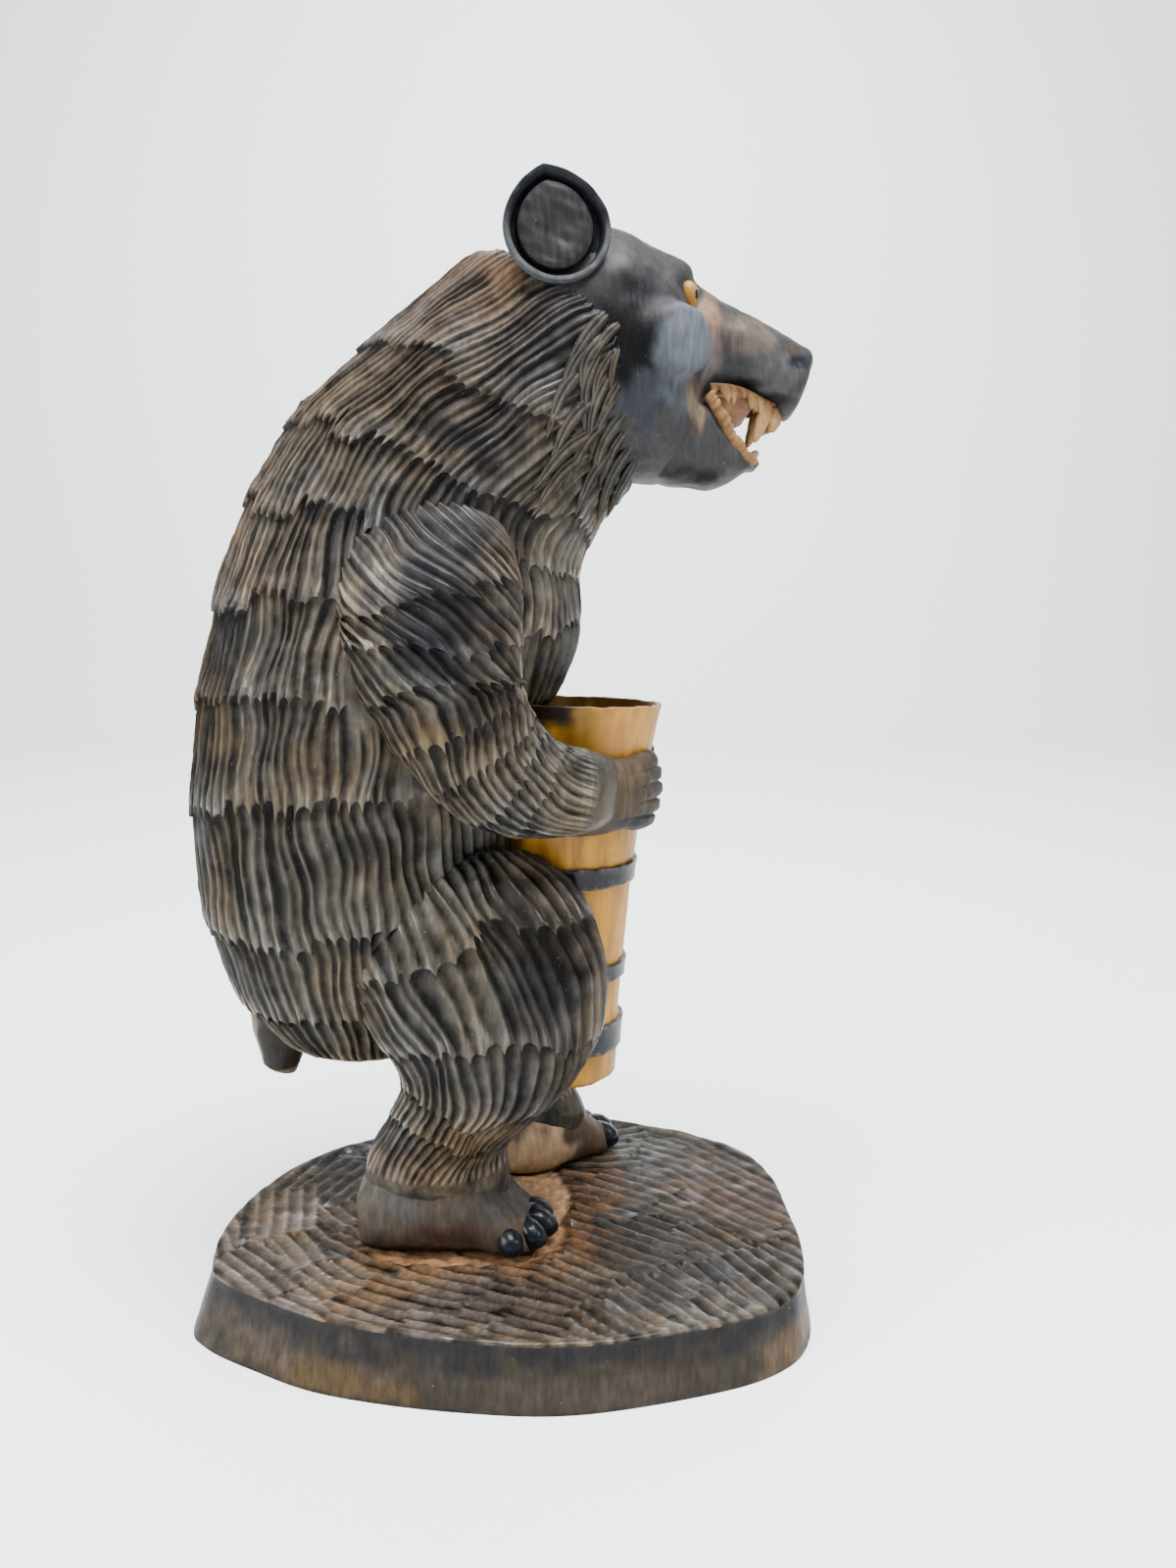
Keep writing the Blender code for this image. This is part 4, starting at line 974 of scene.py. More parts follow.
def flutes(columns, mean, draw):
    """Splits a ring of columns into flutes of uneven width.

    Returns for each column its place across its flute, -1 to 1, its flute's number, and
    how many flutes there are.
    """
    count = max(FEWEST_FLUTES, round(columns / mean))
    widths = draw.uniform(*FLUTE_WIDTHS, count)
    edges = np.round(np.concatenate([[0.0], np.cumsum(widths)]) / widths.sum() * columns)
    column = np.arange(columns)
    flute = np.clip(np.searchsorted(edges, column, side="right") - 1, 0, count - 1)
    start, end = edges[flute], edges[flute + 1]
    return 2 * (column - start) / (end - start) - 1, flute, count


def group_shifts(count, draw):
    """A shift of about -1 to 1 for each flute, the same along groups of them."""
    groups = np.repeat(draw.uniform(-1, 1, count), draw.integers(*GROUP_SIZES, count))
    return groups[:count] + draw.normal(0, GROUP_STRAY, count)


def gouge_cut(t, s, deep, bright):
    """Depth and lightness of flutes at t along them, 0 to 1, and at s across them, -1 to 1.

    The depth is deep * (1 - |s|^2.4). A flute is full soon after its start, runs out
    shallow, narrows to a point, and is steeper on one side. Its ridges are light. Painted
    shading darkens the bowl beside its steep side and lightens it towards the other, and
    painted shade darkens its start.
    """
    tip = max(0.0, (t - NARROW_FROM) / (1 - NARROW_FROM)) ** NARROW_POWER
    across = np.minimum(np.abs(s) / (1 - NARROW * tip), 1.0)
    slant = smoothstep((s + SLANT_FROM) / SLANT_WIDE)
    along = (1 - RUN_OUT * t**2) * (1 - math.exp(-t / ENTRY))
    depth = deep * (1 - across**BOWL_POWER) * along * (STEEP - FLATTER * slant)
    rise = RIDGE_DULL + (1 - RIDGE_DULL) * smoothstep(t / RIDGE_RISE)
    light = (1 - BOWL_SHADING) * bright * across**RIDGE_POWER * rise
    # painted shading: the bowl is dark beside the steep side and lighter towards the flatter one
    light = light + BOWL_SHADING * slant * (0.5 + 0.5 * bright)
    # painted shade darkens the flute where it starts
    return depth, np.clip(light - MOUTH_SHADE * math.exp(-t / MOUTH_LONG), 0, 1)


def tier_starts(ribs, tiers, angles, columns, side, draw):
    """Where each tier starts, for every column, and what was drawn for its flutes.

    A tier starts between its places on the back and on the front, moved by its groups and
    by an arch sqrt(1 - s^2) over each flute. Drawn are its place across, depth, tone and
    lightness.
    """
    x0, z0, x1, z1, _, half, _ = ribs[len(ribs) // 2]
    spacing = math.pi * (math.hypot(x1 - x0, z1 - z0) / 2 + half) / columns
    share = np.arange(columns) / columns
    lines, tracks = [], []
    for back, front, width, _, arch, _, stray in tiers:
        turn = angles(back + 0 * share)
        ahead = (1 + np.cos(turn)) / 2
        start = back * (1 - ahead) + front * ahead
        s, flute, count = flutes(columns, width / spacing, draw)
        drift = draw.normal(0.0, DRIFT, DRIFTS)
        slow = np.interp(share, np.linspace(0, 1, DRIFTS + 1), np.append(drift, drift[0]))
        move = stray * (group_shifts(count, draw)[flute] + slow)
        ahead_by = skin(ribs, start + 0.01, turn, side) - skin(ribs, start, turn, side)
        stretch = np.linalg.norm(ahead_by, axis=-1) / 0.01
        lines.append(start + (move - arch * np.sqrt(1 - s**2)) / stretch)
        tracks.append((s, draw.uniform(*FLUTE_DEPTHS, count)[flute],
                       draw.uniform(-1.0, 1.0, count)[flute],
                       draw.uniform(*FLUTE_LIGHTS, count)[flute]))
    return lines, tracks


def fur_rings(form, tiers, lines, tracks):
    """Place, depth of cut, step, lightness and tone at each column of each ring.

    The first rings sink the form's edge, and the last ones run smooth to its end.
    """
    flat = np.zeros(len(lines[0]))
    end = FUR_END[form]
    spans = np.diff([row[0] for row in tiers] + [end])
    scale = sizes().flute_depth
    table = [(flat, flat + COLLAR_SUNK, flat, flat, flat),
             (lines[0] * 0.5, flat + 0.5 * COLLAR_SUNK, flat, flat + 0.1, flat),
             (lines[0], flat, flat, flat + 0.3, flat)]
    for tier, (_, _, _, depth, _, step, _) in enumerate(tiers):
        s, deep, tone, bright = tracks[tier]
        after = lines[tier + 1] if tier + 1 < len(tiers) else flat + end
        count = max(FEWEST_RINGS, round(FINENESS[form][0] * spans[tier] / spans.sum()))
        for t in np.append(FIRST_RING, np.linspace(0.0, 1.0, count)[1:] ** RING_POWER):
            cut, light = gouge_cut(t, s, depth * deep, bright)
            drop = step * ((1 - t) ** STEP_POWER + STEP_SWELL * t * (1 - t))
            table.append((lines[tier] * (1 - t) + after * t, scale * cut, scale * drop + flat,
                          light, tone))
    for f in np.linspace(0, 1, TAIL_RINGS[form] + 1)[1:]:
        table.append((end * (1 - f) + f + flat, flat + 0.3 * f, flat, flat + 0.3, flat))
    return (np.array(part) for part in zip(*table))


def carve_fur(form, ribs, tiers, seed, side=1.0, stride=0.0, twist=STRAIGHT, fan=STRAIGHT,
              calm=(), mend=()):
    """Lofted form with tiers of gouge cuts; returns its grid in parts and its marks.

    Each tier starts a step below the one before it and rises out of it. Twist turns the
    cuts round the form, and fan leads them towards its front on both sides. Calm places
    keep the skin smooth, and mend adds mounds and hollows.
    """
    columns = FINENESS[form][1]

    def angles(place):
        turned_by = side * np.interp(place, *np.transpose(twist))
        turn = even_turns(ribs, np.arange(columns) / columns - turned_by)
        return turn - np.interp(place, *np.transpose(fan)) * np.sin(turn)

    lines, tracks = tier_starts(ribs, tiers, angles, columns, side, np.random.default_rng(seed))
    place, cut, step, exposure, tone = fur_rings(form, tiers, lines, tracks)
    place = np.clip(place, 0.0, 1.0)
    angle = angles(place)
    move = stride * np.interp(place, STRIDE_PLACES, (0.0, 1.0))
    grid = skin(ribs, place, angle, side, move)
    reach = np.linalg.norm(grid - grid.mean(axis=1, keepdims=True), axis=-1)
    angle = angle + CUT_SWAY * wobble(grid, 26.0, seed + 3) / np.maximum(reach, 8.0)
    grid = skin(ribs, place, angle, side, move)
    behind = EVEN_STEP + (1 - EVEN_STEP) * ((1 - np.cos(angle)) / 2) ** 2
    rest = np.zeros(place.shape)
    for x, y, z, rx, ry, rz in calm:
        offset = (grid * (1, 0, 1) + np.abs(grid) * (0, 1, 0) - (x, y, z)) / (rx, ry, rz)
        rest = np.maximum(rest, smoothstep((1.25 - np.sqrt((offset**2).sum(-1))) / 0.5))
    depth = (cut + step * behind) * (1 - rest) + CALM_DEPTH * rest
    depth += 0.16 * (1 + 0.6 * wobble(grid, 6.0, seed + 1)) + 0.04 * wobble(grid, 1.9, seed + 2)
    depth -= mounds(grid, mend)
    grid = grid - outward(grid) * np.maximum(depth, 0)[..., None]
    return grid, {"exposure": exposure * (1 - rest) + CALM_LIGHT * rest, "tone": tone,
                  "paint": patches(grid, mirrored(FUR_PAINT)),
                  "tint": patches(grid, mirrored(FUR_TINT))}


def smooth_skin(form, ribs, side=1.0, shift=0.0, square=1.0, seed=1, mend=(), rough=0.10):
    """Plain lofted form with soft mounds and the carver's slight unevenness."""
    place, turn = rings(form)
    turn = even_turns(ribs, turn / math.tau)
    grid = skin(ribs, place, turn, side, shift, square)
    height = mounds(grid, mend) + rough * wobble(grid, 7.0, seed) + 0.3 * rough * wobble(
        grid, 2.4, seed + 1)
    return grid + outward(grid) * height[..., None]


def peg(route, radii, columns=16, seed=3):
    """Small tapering form along a path, its rings square to the path and slightly uneven."""
    places = np.linspace(0, 1, 6 * len(route))
    points = flow(np.column_stack([route, radii]), places)
    points, radius = points[:, :3], points[:, 3]
    run = unit(np.gradient(points, axis=0))
    first = unit(np.cross(run, [0.0, 0.0, 1.0]) + 1e-9)
    second = np.cross(run, first)
    turn = around(columns)
    ends = np.sqrt(np.clip(1 - np.linspace(-1, 1, len(places)) ** 10, 0.02, 1))
    grid = points[:, None] + (radius * ends)[:, None, None] * (
        np.cos(turn)[None, :, None] * first[:, None]
        + np.sin(turn)[None, :, None] * second[:, None])
    return grid + outward(grid) * (0.10 * wobble(grid, 2.0, seed))[..., None]


def tub_axis():
    """Foot of the tub's middle line and its direction, in parts."""
    direction = np.array([math.sin(TUB_LEAN), 0.0, math.cos(TUB_LEAN)])
    grip = np.array([GRIP[0], 0.0, GRIP[1]])
    return grip - direction * TUB_HEIGHT * GRIP_SHARE, direction


def tub_radius(height):
    """Outer radius of the tub's staves at a height above its foot."""
    share = np.clip(height, 0.0, None) / TUB_HEIGHT
    flare = TUB_RIM - TUB_FOOT_RADIUS - TUB_TAPER
    top, proud = FOOT_RING
    ring = proud * smoothstep((top - height) / 0.5)
    return TUB_FOOT_RADIUS + TUB_TAPER * share + flare * share**TUB_FLARE + ring


def turned(radius, height, turn):
    """Points at a radius and a height on the tub's middle line, for each turn."""
    foot, direction = tub_axis()
    ahead = np.array([direction[2], 0.0, -direction[0]])
    aside = np.array([0.0, 1.0, 0.0])
    return (foot + height[..., None] * direction
            + radius[..., None] * (np.cos(turn)[..., None] * ahead
                                   + np.sin(turn)[..., None] * aside))


def clear_of_tub(grid):
    """The grid with points that lie in the tub's hollow moved straight out into its wall."""
    foot, direction = tub_axis()
    height = (grid - foot) @ direction
    radial = grid - foot - height[..., None] * direction
    distance = np.maximum(np.linalg.norm(radial, axis=-1), 1e-6)
    least = tub_radius(height) - TUB_LIP / 2
    inside = (height > 0) & (height < TUB_HEIGHT) & (distance < least)
    return grid + radial * (np.where(inside, least / distance, 1.0) - 1.0)[..., None]


def mirrored(table):
    """Patches of the right side, and the same ones on the left."""
    return table + tuple(row[:1] + (-row[1],) + row[2:] for row in table)


def marks_for(grid, paint=(), tint=(), exposure=0.45):
    """Values for a piece's finish: even in tone, with patches of paint and tint."""
    flat = np.zeros(grid.shape[:2])
    return {"exposure": flat + exposure, "tone": flat, "paint": patches(grid, paint),
            "tint": patches(grid, tint)}


def lay(marks, colour, cover):
    """Lays a colour over a piece's paint, as strongly as cover says."""
    paint = marks["paint"][..., :3]
    paint += (np.array(colour) - paint) * cover[..., None]


def finish(name, make, *values, **more):
    """The material of that name, made at its first use."""
    return bpy.data.materials.get(name) or make(name, *values, **more)


def fur_finish():
    """Dark stain of the fur, thin on the ridges."""
    return finish("stained_fur", stained_finish, tuple(colours().cut), tuple(colours().ridge))


def skin_finish():
    """Even stain of head, paws, feet and tail."""
    base = tuple(colours().smooth)
    return finish("stained_skin", stained_finish, tuple(0.45 * c for c in base), base,
                  gloss=0.45, wear=0.4, coat=0.16, streaks=0.24, even=0.4, soft=0.30)


def black_finish():
    """Blue-black paint."""
    return finish("black_paint", painted_finish, tuple(colours().black))


def mouth_finish():
    """Bare wood."""
    return finish("bare_wood", bare_finish, tuple(colours().bare))


def gold_finish():
    """Gold paint of the eyes."""
    return finish("gold_paint", bare_finish, tuple(colours().gold), gloss=0.35, coat=0.15)


def toward(degrees, side):
    """Level direction so many degrees from straight ahead towards that side."""
    angle = np.radians(degrees)
    return np.stack([np.cos(angle), side * np.sin(angle), 0.0 * angle], -1)


def square_to(out):
    """Unit vectors for outwards, upwards and ahead, from a facing direction."""
    out = unit(out)
    upward = unit(np.array([0.0, 0.0, 1.0]) - out * out[2])
    ahead = np.cross(upward, out)
    return out, upward, ahead * np.sign(ahead[0])


class BuildTrunk(bpy.types.Operator):
    """Carve the back, neck, chest and rump in tiers of gouge cuts"""

    bl_idname = "carved_bear.trunk"
    bl_label = "Trunk"

    def execute(self, context):
        grid, marks = carve_fur("trunk", TRUNK, TRUNK_TIERS, 11, fan=TRUNK_FAN,
                                calm=TRUNK_CALM, mend=TRUNK_HOLLOWS)
        dress(ring_mesh("bear_trunk", grid, marks), fur_finish())
        return {"FINISHED"}


class BuildArms(bpy.types.Operator):
    """Carve both arms, with long cuts on the shoulder and short ones on the forearm"""

    bl_idname = "carved_bear.arms"
    bl_label = "Arms"

    def execute(self, context):
        for side, word in SIDES:
            grid, marks = carve_fur("arm", ARM, ARM_TIERS, 21, side, twist=ARM_TWIST)
            dress(ring_mesh(f"arm_{word}", clear_of_tub(grid), marks), fur_finish())
        return {"FINISHED"}


class BuildLegs(bpy.types.Operator):
    """Carve both legs, the left one a stride ahead"""

    bl_idname = "carved_bear.legs"
    bl_label = "Legs"

    def execute(self, context):
        for side, word in SIDES:
            stride = STRIDE if side == LEFT else 0.0
            places = np.linspace(0, 1, len(LEG))
            out = np.interp(places, STRIDE_PLACES, (0.0, STANCE if side == LEFT else 0.0))
            ribs = [row[:4] + (row[4] + more,) + row[5:] for row, more in zip(LEG, out)]
            grid, marks = carve_fur("leg", ribs, LEG_TIERS, 31, side, stride, LEG_TWIST)
            dress(ring_mesh(f"leg_{word}", clear_of_tub(grid), marks), fur_finish())
        return {"FINISHED"}


class BuildFeet(bpy.types.Operator):
    """Shape the smooth feet with their toes and short black claws"""

    bl_idname = "carved_bear.feet"
    bl_label = "Feet"

    def execute(self, context):
        for side, word in SIDES:
            shift = STRIDE if side == LEFT else 0.0
            behind, inside, high = TOE_PLACE
            toes = [(x + shift - behind, aside - inside, high) + TOE for x, aside, _ in CLAWS]
            grid = smooth_skin("foot", FOOT, side, shift, FOOT_SQUARE, 41, toes)
            grid = stepped_out(grid, side)
            dress(ring_mesh(f"foot_{word}", grid, marks_for(grid, FOOT_PAINT, FOOT_TINT)),
                  skin_finish())
            for claw, (x, aside, degrees) in enumerate(CLAWS):
                root = np.array([x + shift, side * aside, 0.0])
                route = [root + toward(degrees, side) * reach + (0, 0, rise)
                         for reach, rise, _ in CLAW_ROUTE]
                grid = peg(route, [row[2] for row in CLAW_ROUTE], 20, seed=50 + claw)
                grid = stepped_out(grid, side)
                grid[..., 2] = np.maximum(grid[..., 2], -RECESS_DEPTH)
                dress(ring_mesh(f"claw_{word}_{claw}", grid, {}), black_finish())
        return {"FINISHED"}


def stepped_out(grid, side):
    """The left foot moved out by the stance and bent outwards ahead of its ankle; the right
    one as it is."""
    if side == RIGHT:
        return grid
    ankle = np.array([(LEG[-1][0] + LEG[-1][2]) / 2 + STRIDE, LEG[-1][4], 0.0])
    off = grid - ankle
    angle = SPLAY * smoothstep((off[..., 0] - SPLAY_FROM) / SPLAY_LONG)
    ahead = off[..., 0] * np.cos(angle) - off[..., 1] * np.sin(angle)
    aside = off[..., 0] * np.sin(angle) + off[..., 1] * np.cos(angle)
    return np.stack([ahead, aside + STANCE, off[..., 2]], -1) + ankle


class BuildPaws(bpy.types.Operator):
    """Shape the smooth paws that lie round the tub, with five blunt fingers each"""

    bl_idname = "carved_bear.paws"
    bl_label = "Paws"

    def execute(self, context):
        foot, direction = tub_axis()
        height = TUB_HEIGHT * GRIP_SHARE
        grip, radius = foot + direction * height - PAW_LOW, float(tub_radius(height))
        for side, word in SIDES:
            grid = paw_skin(grip, radius, side)
            marks = marks_for(grid, mirrored(PAW_SHADE), mirrored(PAW_TINT))
            dress(ring_mesh(f"paw_{word}", clear_of_tub(grid), marks), skin_finish())
        return {"FINISHED"}


def paw_skin(grip, radius, side):
    """Slab bent round the tub, notched between its fingers and blunt at its end.

    A ring is an oval of half thickness and half height. Between the fingers, places
    (height + half) / pitch apart, it is cut in by a groove |beside|^6 that fades towards
    the wrist, and notches |beside|^5 deep part the tips.
    """
    place, turn = rings("paw")
    rise = rounded(np.sin(turn), PAW_SQUARE)
    finger = (1 - rise) / 2 * FINGERS
    number = np.clip(np.floor(finger), 0, FINGERS - 1)
    beside = 2 * (finger - number) - 1
    short = FINGER_SHORTER * np.abs(number - LONGEST_FINGER) ** FINGER_POWER
    begin, end = PAW_ARC
    degrees = begin + (end + short + NOTCH * np.abs(beside) ** 5 - begin) * place
    groove = GROOVE * smoothstep((place - GROOVE_FROM) / GROOVE_OPENS) * np.abs(beside) ** 6
    nick_place, nick_half, nick_finger, nick_reach, nick_deep = NICK
    nick = nick_deep * smoothstep(1 - np.abs(place - nick_place) / nick_half) * smoothstep(
        2 - np.abs(finger - nick_finger) / nick_reach)
    blunt = np.clip((place - BLUNT_FROM) / (1 - BLUNT_FROM), 0, 1)
    close = np.maximum(np.sqrt(1 - blunt**2), BLUNTEST)
    thick = (PAW_HALF[0] + PAW_SWELL * np.sin(np.radians(degrees))) * (1 - PAW_THINS * place)
    thick = (thick - groove - nick) * close
    out = toward(degrees, side)
    centre = grip + out * (radius + PAW_PROUD[0] + PAW_PROUD[1] * place)[..., None]
    grid = centre + out * (rounded(np.cos(turn), PAW_SQUARE) * thick)[..., None]
    narrower, at, reach = PAW_WAIST
    waist = 1 - narrower * np.exp(-((place - at) / reach) ** 2)
    grid = grid + (rise * PAW_HALF[1] * waist)[..., None] * np.array([0.0, 0.0, 1.0])
    return grid + outward(grid) * (0.12 * wobble(grid, 6.0, 61))[..., None]


class BuildHead(bpy.types.Operator):
    """Shape the smooth head and the lower jaw"""

    bl_idname = "carved_bear.head"
    bl_label = "Head"

    def execute(self, context):
        grid = smooth_skin("head", HEAD, square=HEAD_SQUARE, seed=71, mend=HEAD_MOUNDS)
        cheek = cheek_disc(grid)
        marks = marks_for(grid, HEAD_BASE + mirrored(HEAD_PAINT))
        marks["exposure"] *= 1 - patches(grid, mirrored(HEAD_DULL))[..., 3]
        # painted sheen: the cheek's front half gets a lighter grey, for the varnish's reflection
        from_x, fade_x, from_z, fade_z = CHEEK_SHEEN_FRONT
        ahead = smoothstep((grid[..., 0] - from_x) / fade_x)
        lay(marks, CHEEK_SHEEN,
            CHEEK_SHEEN_COVER * cheek * ahead * smoothstep((grid[..., 2] - from_z) / fade_z))
        grid = grid + outward(grid) * (CHEEK_PROUD * cheek - temple_strokes(grid))[..., None]
        dress(ring_mesh("head", grid, marks), skin_finish())
        grid = smooth_skin("jaw", JAW, square=JAW_SQUARE, seed=81, mend=JAW_MOUNDS)
        marks = marks_for(grid, HEAD_BASE + mirrored(JAW_PAINT))
        dress(ring_mesh("jaw", grid, marks), skin_finish())
        return {"FINISHED"}


def cheek_disc(grid):
    """Cheek, 0 to 1: a soft disc that ends at a crisp arc in front, where the muzzle starts."""
    x, y, z = np.moveaxis(grid, -1, 0)
    heart_x, heart_z, reach_x, reach_z = CHEEK
    off_x, off_z = (x - heart_x) / reach_x, (z - heart_z) / reach_z
    distance = np.hypot(off_x, off_z)
    crisp = 0.10 + 0.75 * smoothstep(0.4 - off_x)
    disc = smoothstep((1.0 - distance) / crisp + 0.2)
    return disc * smoothstep((np.abs(y) - 6) / 7)


def temple_strokes(grid):
    """Fine upright knife strokes in the black temple, as a depth."""
    x, y, z = np.moveaxis(grid, -1, 0)
    heart_x, heart_z, reach_x, reach_z, pitch, depth = TEMPLE
    inside = smoothstep((1.2 - np.hypot((x - heart_x) / reach_x, (z - heart_z) / reach_z)) / 0.5)
    phase = (x - 0.25 * z) / pitch + 0.7 * wobble(grid, 9.0, 77)
    return depth * inside * smoothstep(np.abs(y) / 8) * np.sin(math.pi * phase) ** 2


class BuildRuff(bpy.types.Operator):
    """Carve the long locks of the ruff that overlap the cheeks"""

    bl_idname = "carved_bear.ruff"
    bl_label = "Ruff"

    def execute(self, context):
        under = np.concatenate([points_of("bear_trunk"), points_of("head")])
        for side, word in SIDES:
            for number, row in enumerate(LOCKS):
                grid, marks = lock_skin(row, under[under[:, 1] * side > 4], side, 160 + number)
                dress(ring_mesh(f"lock_{word}_{number}", grid, marks), fur_finish())
        return {"FINISHED"}


def points_of(name):
    """Points, in parts, of a piece that was built before."""
    mesh = bpy.data.objects[name].data
    flat = np.zeros(3 * len(mesh.vertices), np.float32)
    mesh.vertices.foreach_get("co", flat)
    return (flat.reshape(-1, 3) - (0.0, 0.0, GROUND)) / UNIT


def lock_skin(row, under, side, seed):
    """Curved tapering lock that lies on the points under it, with cuts along it.

    A ring is an oval, width * cos along the skin and thickness * sin out of it, scaled by
    sin(pi * place^0.8)^0.7; the cuts lower it by 0.45 (1 - |sin(cuts * turn)|).
    """
    rows, columns = FINENESS["lock"]
    places = np.linspace(0, 1, rows)
    corners = np.reshape(row[:6], (3, 2))
    route = flow(corners[1] + (corners - corners[1]) * LOCK_LONGER, places)
    near = np.hypot(under[:, 0] - route[:, :1], under[:, 2] - route[:, 1:]) < LOCK_NEAR
    y = np.where(near, np.abs(under[:, 1]), 0.0).max(axis=1)
    y = np.polyval(np.polyfit(places, y, 2), places)
    middle = np.stack([route[:, 0], side * y, route[:, 1]], -1)
    out = unit(np.array([LOCK_AHEAD, side, 0.0]))
    across = unit(np.cross(np.gradient(middle, axis=0), out))
    turn = around(columns)
    taper = (np.clip(np.sin(math.pi * places**0.8), 0, 1) ** 0.7 + 0.03)[:, None]
    cuts = np.abs(np.sin(LOCK_CUTS * turn + CUT_PHASE))[None] * np.ones_like(taper)
    high = (LOCK_THICK - CUT_DEPTH * (1 - cuts)) * rounded(np.sin(turn), 0.7)[None] * taper
    sunk = LOCK_SUNK + ROOT_SUNK * (1 - smoothstep(places / ROOT_LONG))[:, None]
    grid = (middle[:, None] + (row[6] * np.cos(turn)[None] * taper)[..., None] * across[:, None]
            + (high - sunk)[..., None] * out)
    grid = grid + (0.12 * wobble(grid, 3.0, seed))[..., None] * out
    marks = marks_for(grid, (), LOCK_TINT)
    marks["exposure"] = np.clip(0.05 + 0.6 * cuts * np.sin(turn)[None] ** 2, 0, 1)
    return grid, marks


class BuildEars(bpy.types.Operator):
    """Shape the pointed ears, each with a black groove round a raised oval"""

    bl_idname = "carved_bear.ears"
    bl_label = "Ears"

    def execute(self, context):
        for side, word in SIDES:
            grid, marks = ear_skin(side)
            dress(ring_mesh(f"ear_{word}", grid, marks), skin_finish())
        return {"FINISHED"}


def ear_skin(side):
    """Rings of a pointed oval, from the middle of its open face to its back.

    The oval's radius has a tip, (1 - angle from the tip / reach)^2.
    """
    place, turn = rings("ear")
    profile = np.array(EAR_PROFILE)
    at = np.linspace(0, 1, len(profile))
    share = np.interp(place, at, profile[:, 0])
    rise = np.interp(place, at, profile[:, 1])
    share[0] = 0.01
    heading, reach, high = EAR_TIP
    off = (np.degrees(turn) - heading + 180) % 360 - 180
    point = 1 + high * np.clip(1 - np.abs(off) / reach, 0, 1) ** 2 * smoothstep((share - 0.3) / 0.6)
    face = place < at[EAR_RIM_RING]
    boss = 1 - (1 - EAR_BOSS) * smoothstep((0.86 - share) / 0.2) * face
    grooved = smoothstep((share - 0.4) / 0.2) * smoothstep((0.84 - share) / 0.1) * face
    wide = 1 - EAR_THICK * np.cos(turn - EAR_THICK_AT) * grooved
    out, upward, ahead = square_to(np.array(EAR_FACING) * (1, side, 1))
    grid = (np.array(EAR_HEART) * (1, side, 1)
            + (np.cos(turn) * point * wide * share * EAR_HALF[0])[..., None] * ahead
            + (np.sin(turn) * point * wide * boss * share * EAR_HALF[1])[..., None] * upward
            + rise[..., None] * out)
    grid = grid + 0.10 * wobble(grid, 4.0, 91)[..., None] * out
    marks = marks_for(grid)
    low, high = EAR_GROOVE
    black = smoothstep((share - low) / 0.03) * smoothstep((high - share) / 0.02) * face
    tip = smoothstep((share - 0.62) / 0.2) * np.exp(-((off / 20) ** 2)) * face
    marks["paint"][..., :3] = EAR_INSIDE
    lay(marks, colours().black, np.maximum(black, tip))
    low_down = smoothstep((0.35 - np.sin(turn)) / 0.6)[..., None]
    edge = np.array(EAR_EDGE) * (1 - low_down) + np.array(EAR_EDGE_LOW) * low_down
    lay(marks, edge, np.maximum(smoothstep((share - high) / 0.03), ~face))
    streak = 1 + 0.35 * wobble(grid * (1, 1, 0.12), 1.8, 92) * (share < low) * face
    marks["paint"][..., :3] *= streak[..., None]
    marks["paint"][..., 3] = 0.95
    return grid, marks


class BuildFace(bpy.types.Operator):
    """Set in the gold eyes, the bare teeth and the inside of the mouth"""

    bl_idname = "carved_bear.face"
    bl_label = "Eyes and teeth"

    def execute(self, context):
        for side, word in SIDES:
            self.tooth(f"upper_canine_{word}", UPPER_CANINE, side)
            self.tooth(f"lower_canine_{word}", LOWER_CANINE, side)
            for tooth in range(INCISORS):
                rows = np.array(INCISOR) + tooth * np.array(INCISOR_PITCH)
                self.tooth(f"incisor_{word}_{tooth}", rows, side)
            grid, marks = eye_skin(side)
            dress(ring_mesh(f"eye_{word}", grid, marks), gold_finish())
        for name, rows, teeth in (("upper_teeth", UPPER_STRIP, UPPER_TEETH),
                                  ("lower_teeth", LOWER_STRIP, LOWER_TEETH)):
            grid, marks = strip_skin(rows, *teeth)
            dress(ring_mesh(name, grid, marks), mouth_finish())
        grid = smooth_skin("mouth", PALATE, square=PALATE_SQUARE, seed=87, rough=0.25)
        dress(ring_mesh("mouth_wall", grid, marks_for(grid, PALATE_PAINT)), mouth_finish())
        return {"FINISHED"}

    def tooth(self, name, rows, side):
        """Peg from rows of x, y, z and radius, on one side."""
        rows = np.array(rows, float)
        grid = peg(rows[:, :3] * (1, side, 1), rows[:, 3], seed=int(rows[0, 0] * 10))
        from_root = np.linspace(0, 1, len(grid))[:, None]
        # painted shade: each tooth is darker towards its root
        marks = marks_for(grid, exposure=0.06 + 0.4 * smoothstep((from_root - 0.1) / 0.6))
        dress(ring_mesh(name, grid, marks), mouth_finish())


def eye_skin(side):
    """Half-sunk oval ball that faces forwards and aside, with a dark pupil."""
    place, turn = rings("eye")
    polar = place * math.pi
    out, upward, ahead = square_to(np.array(EYE_FACING) * (1, side, 1))
    across = np.sin(polar) * np.cos(turn)
    above = np.sin(polar) * np.sin(turn)
    grid = (np.array(EYE_HEART) * (1, side, 1) + (across * EYE_HALF[0])[..., None] * ahead
            + (above * EYE_HALF[1])[..., None] * upward
            + (np.cos(polar) * EYE_DEEP)[..., None] * out)
    marks = marks_for(grid)
    pupil_x, pupil_z, radius = PUPIL
    inside = smoothstep((radius - np.hypot(across - pupil_x, above - pupil_z)) / 0.08)
    marks["paint"][..., :3] = tuple(colours().black)
    marks["paint"][..., 3] = inside * (place < 0.5)
    return grid, marks


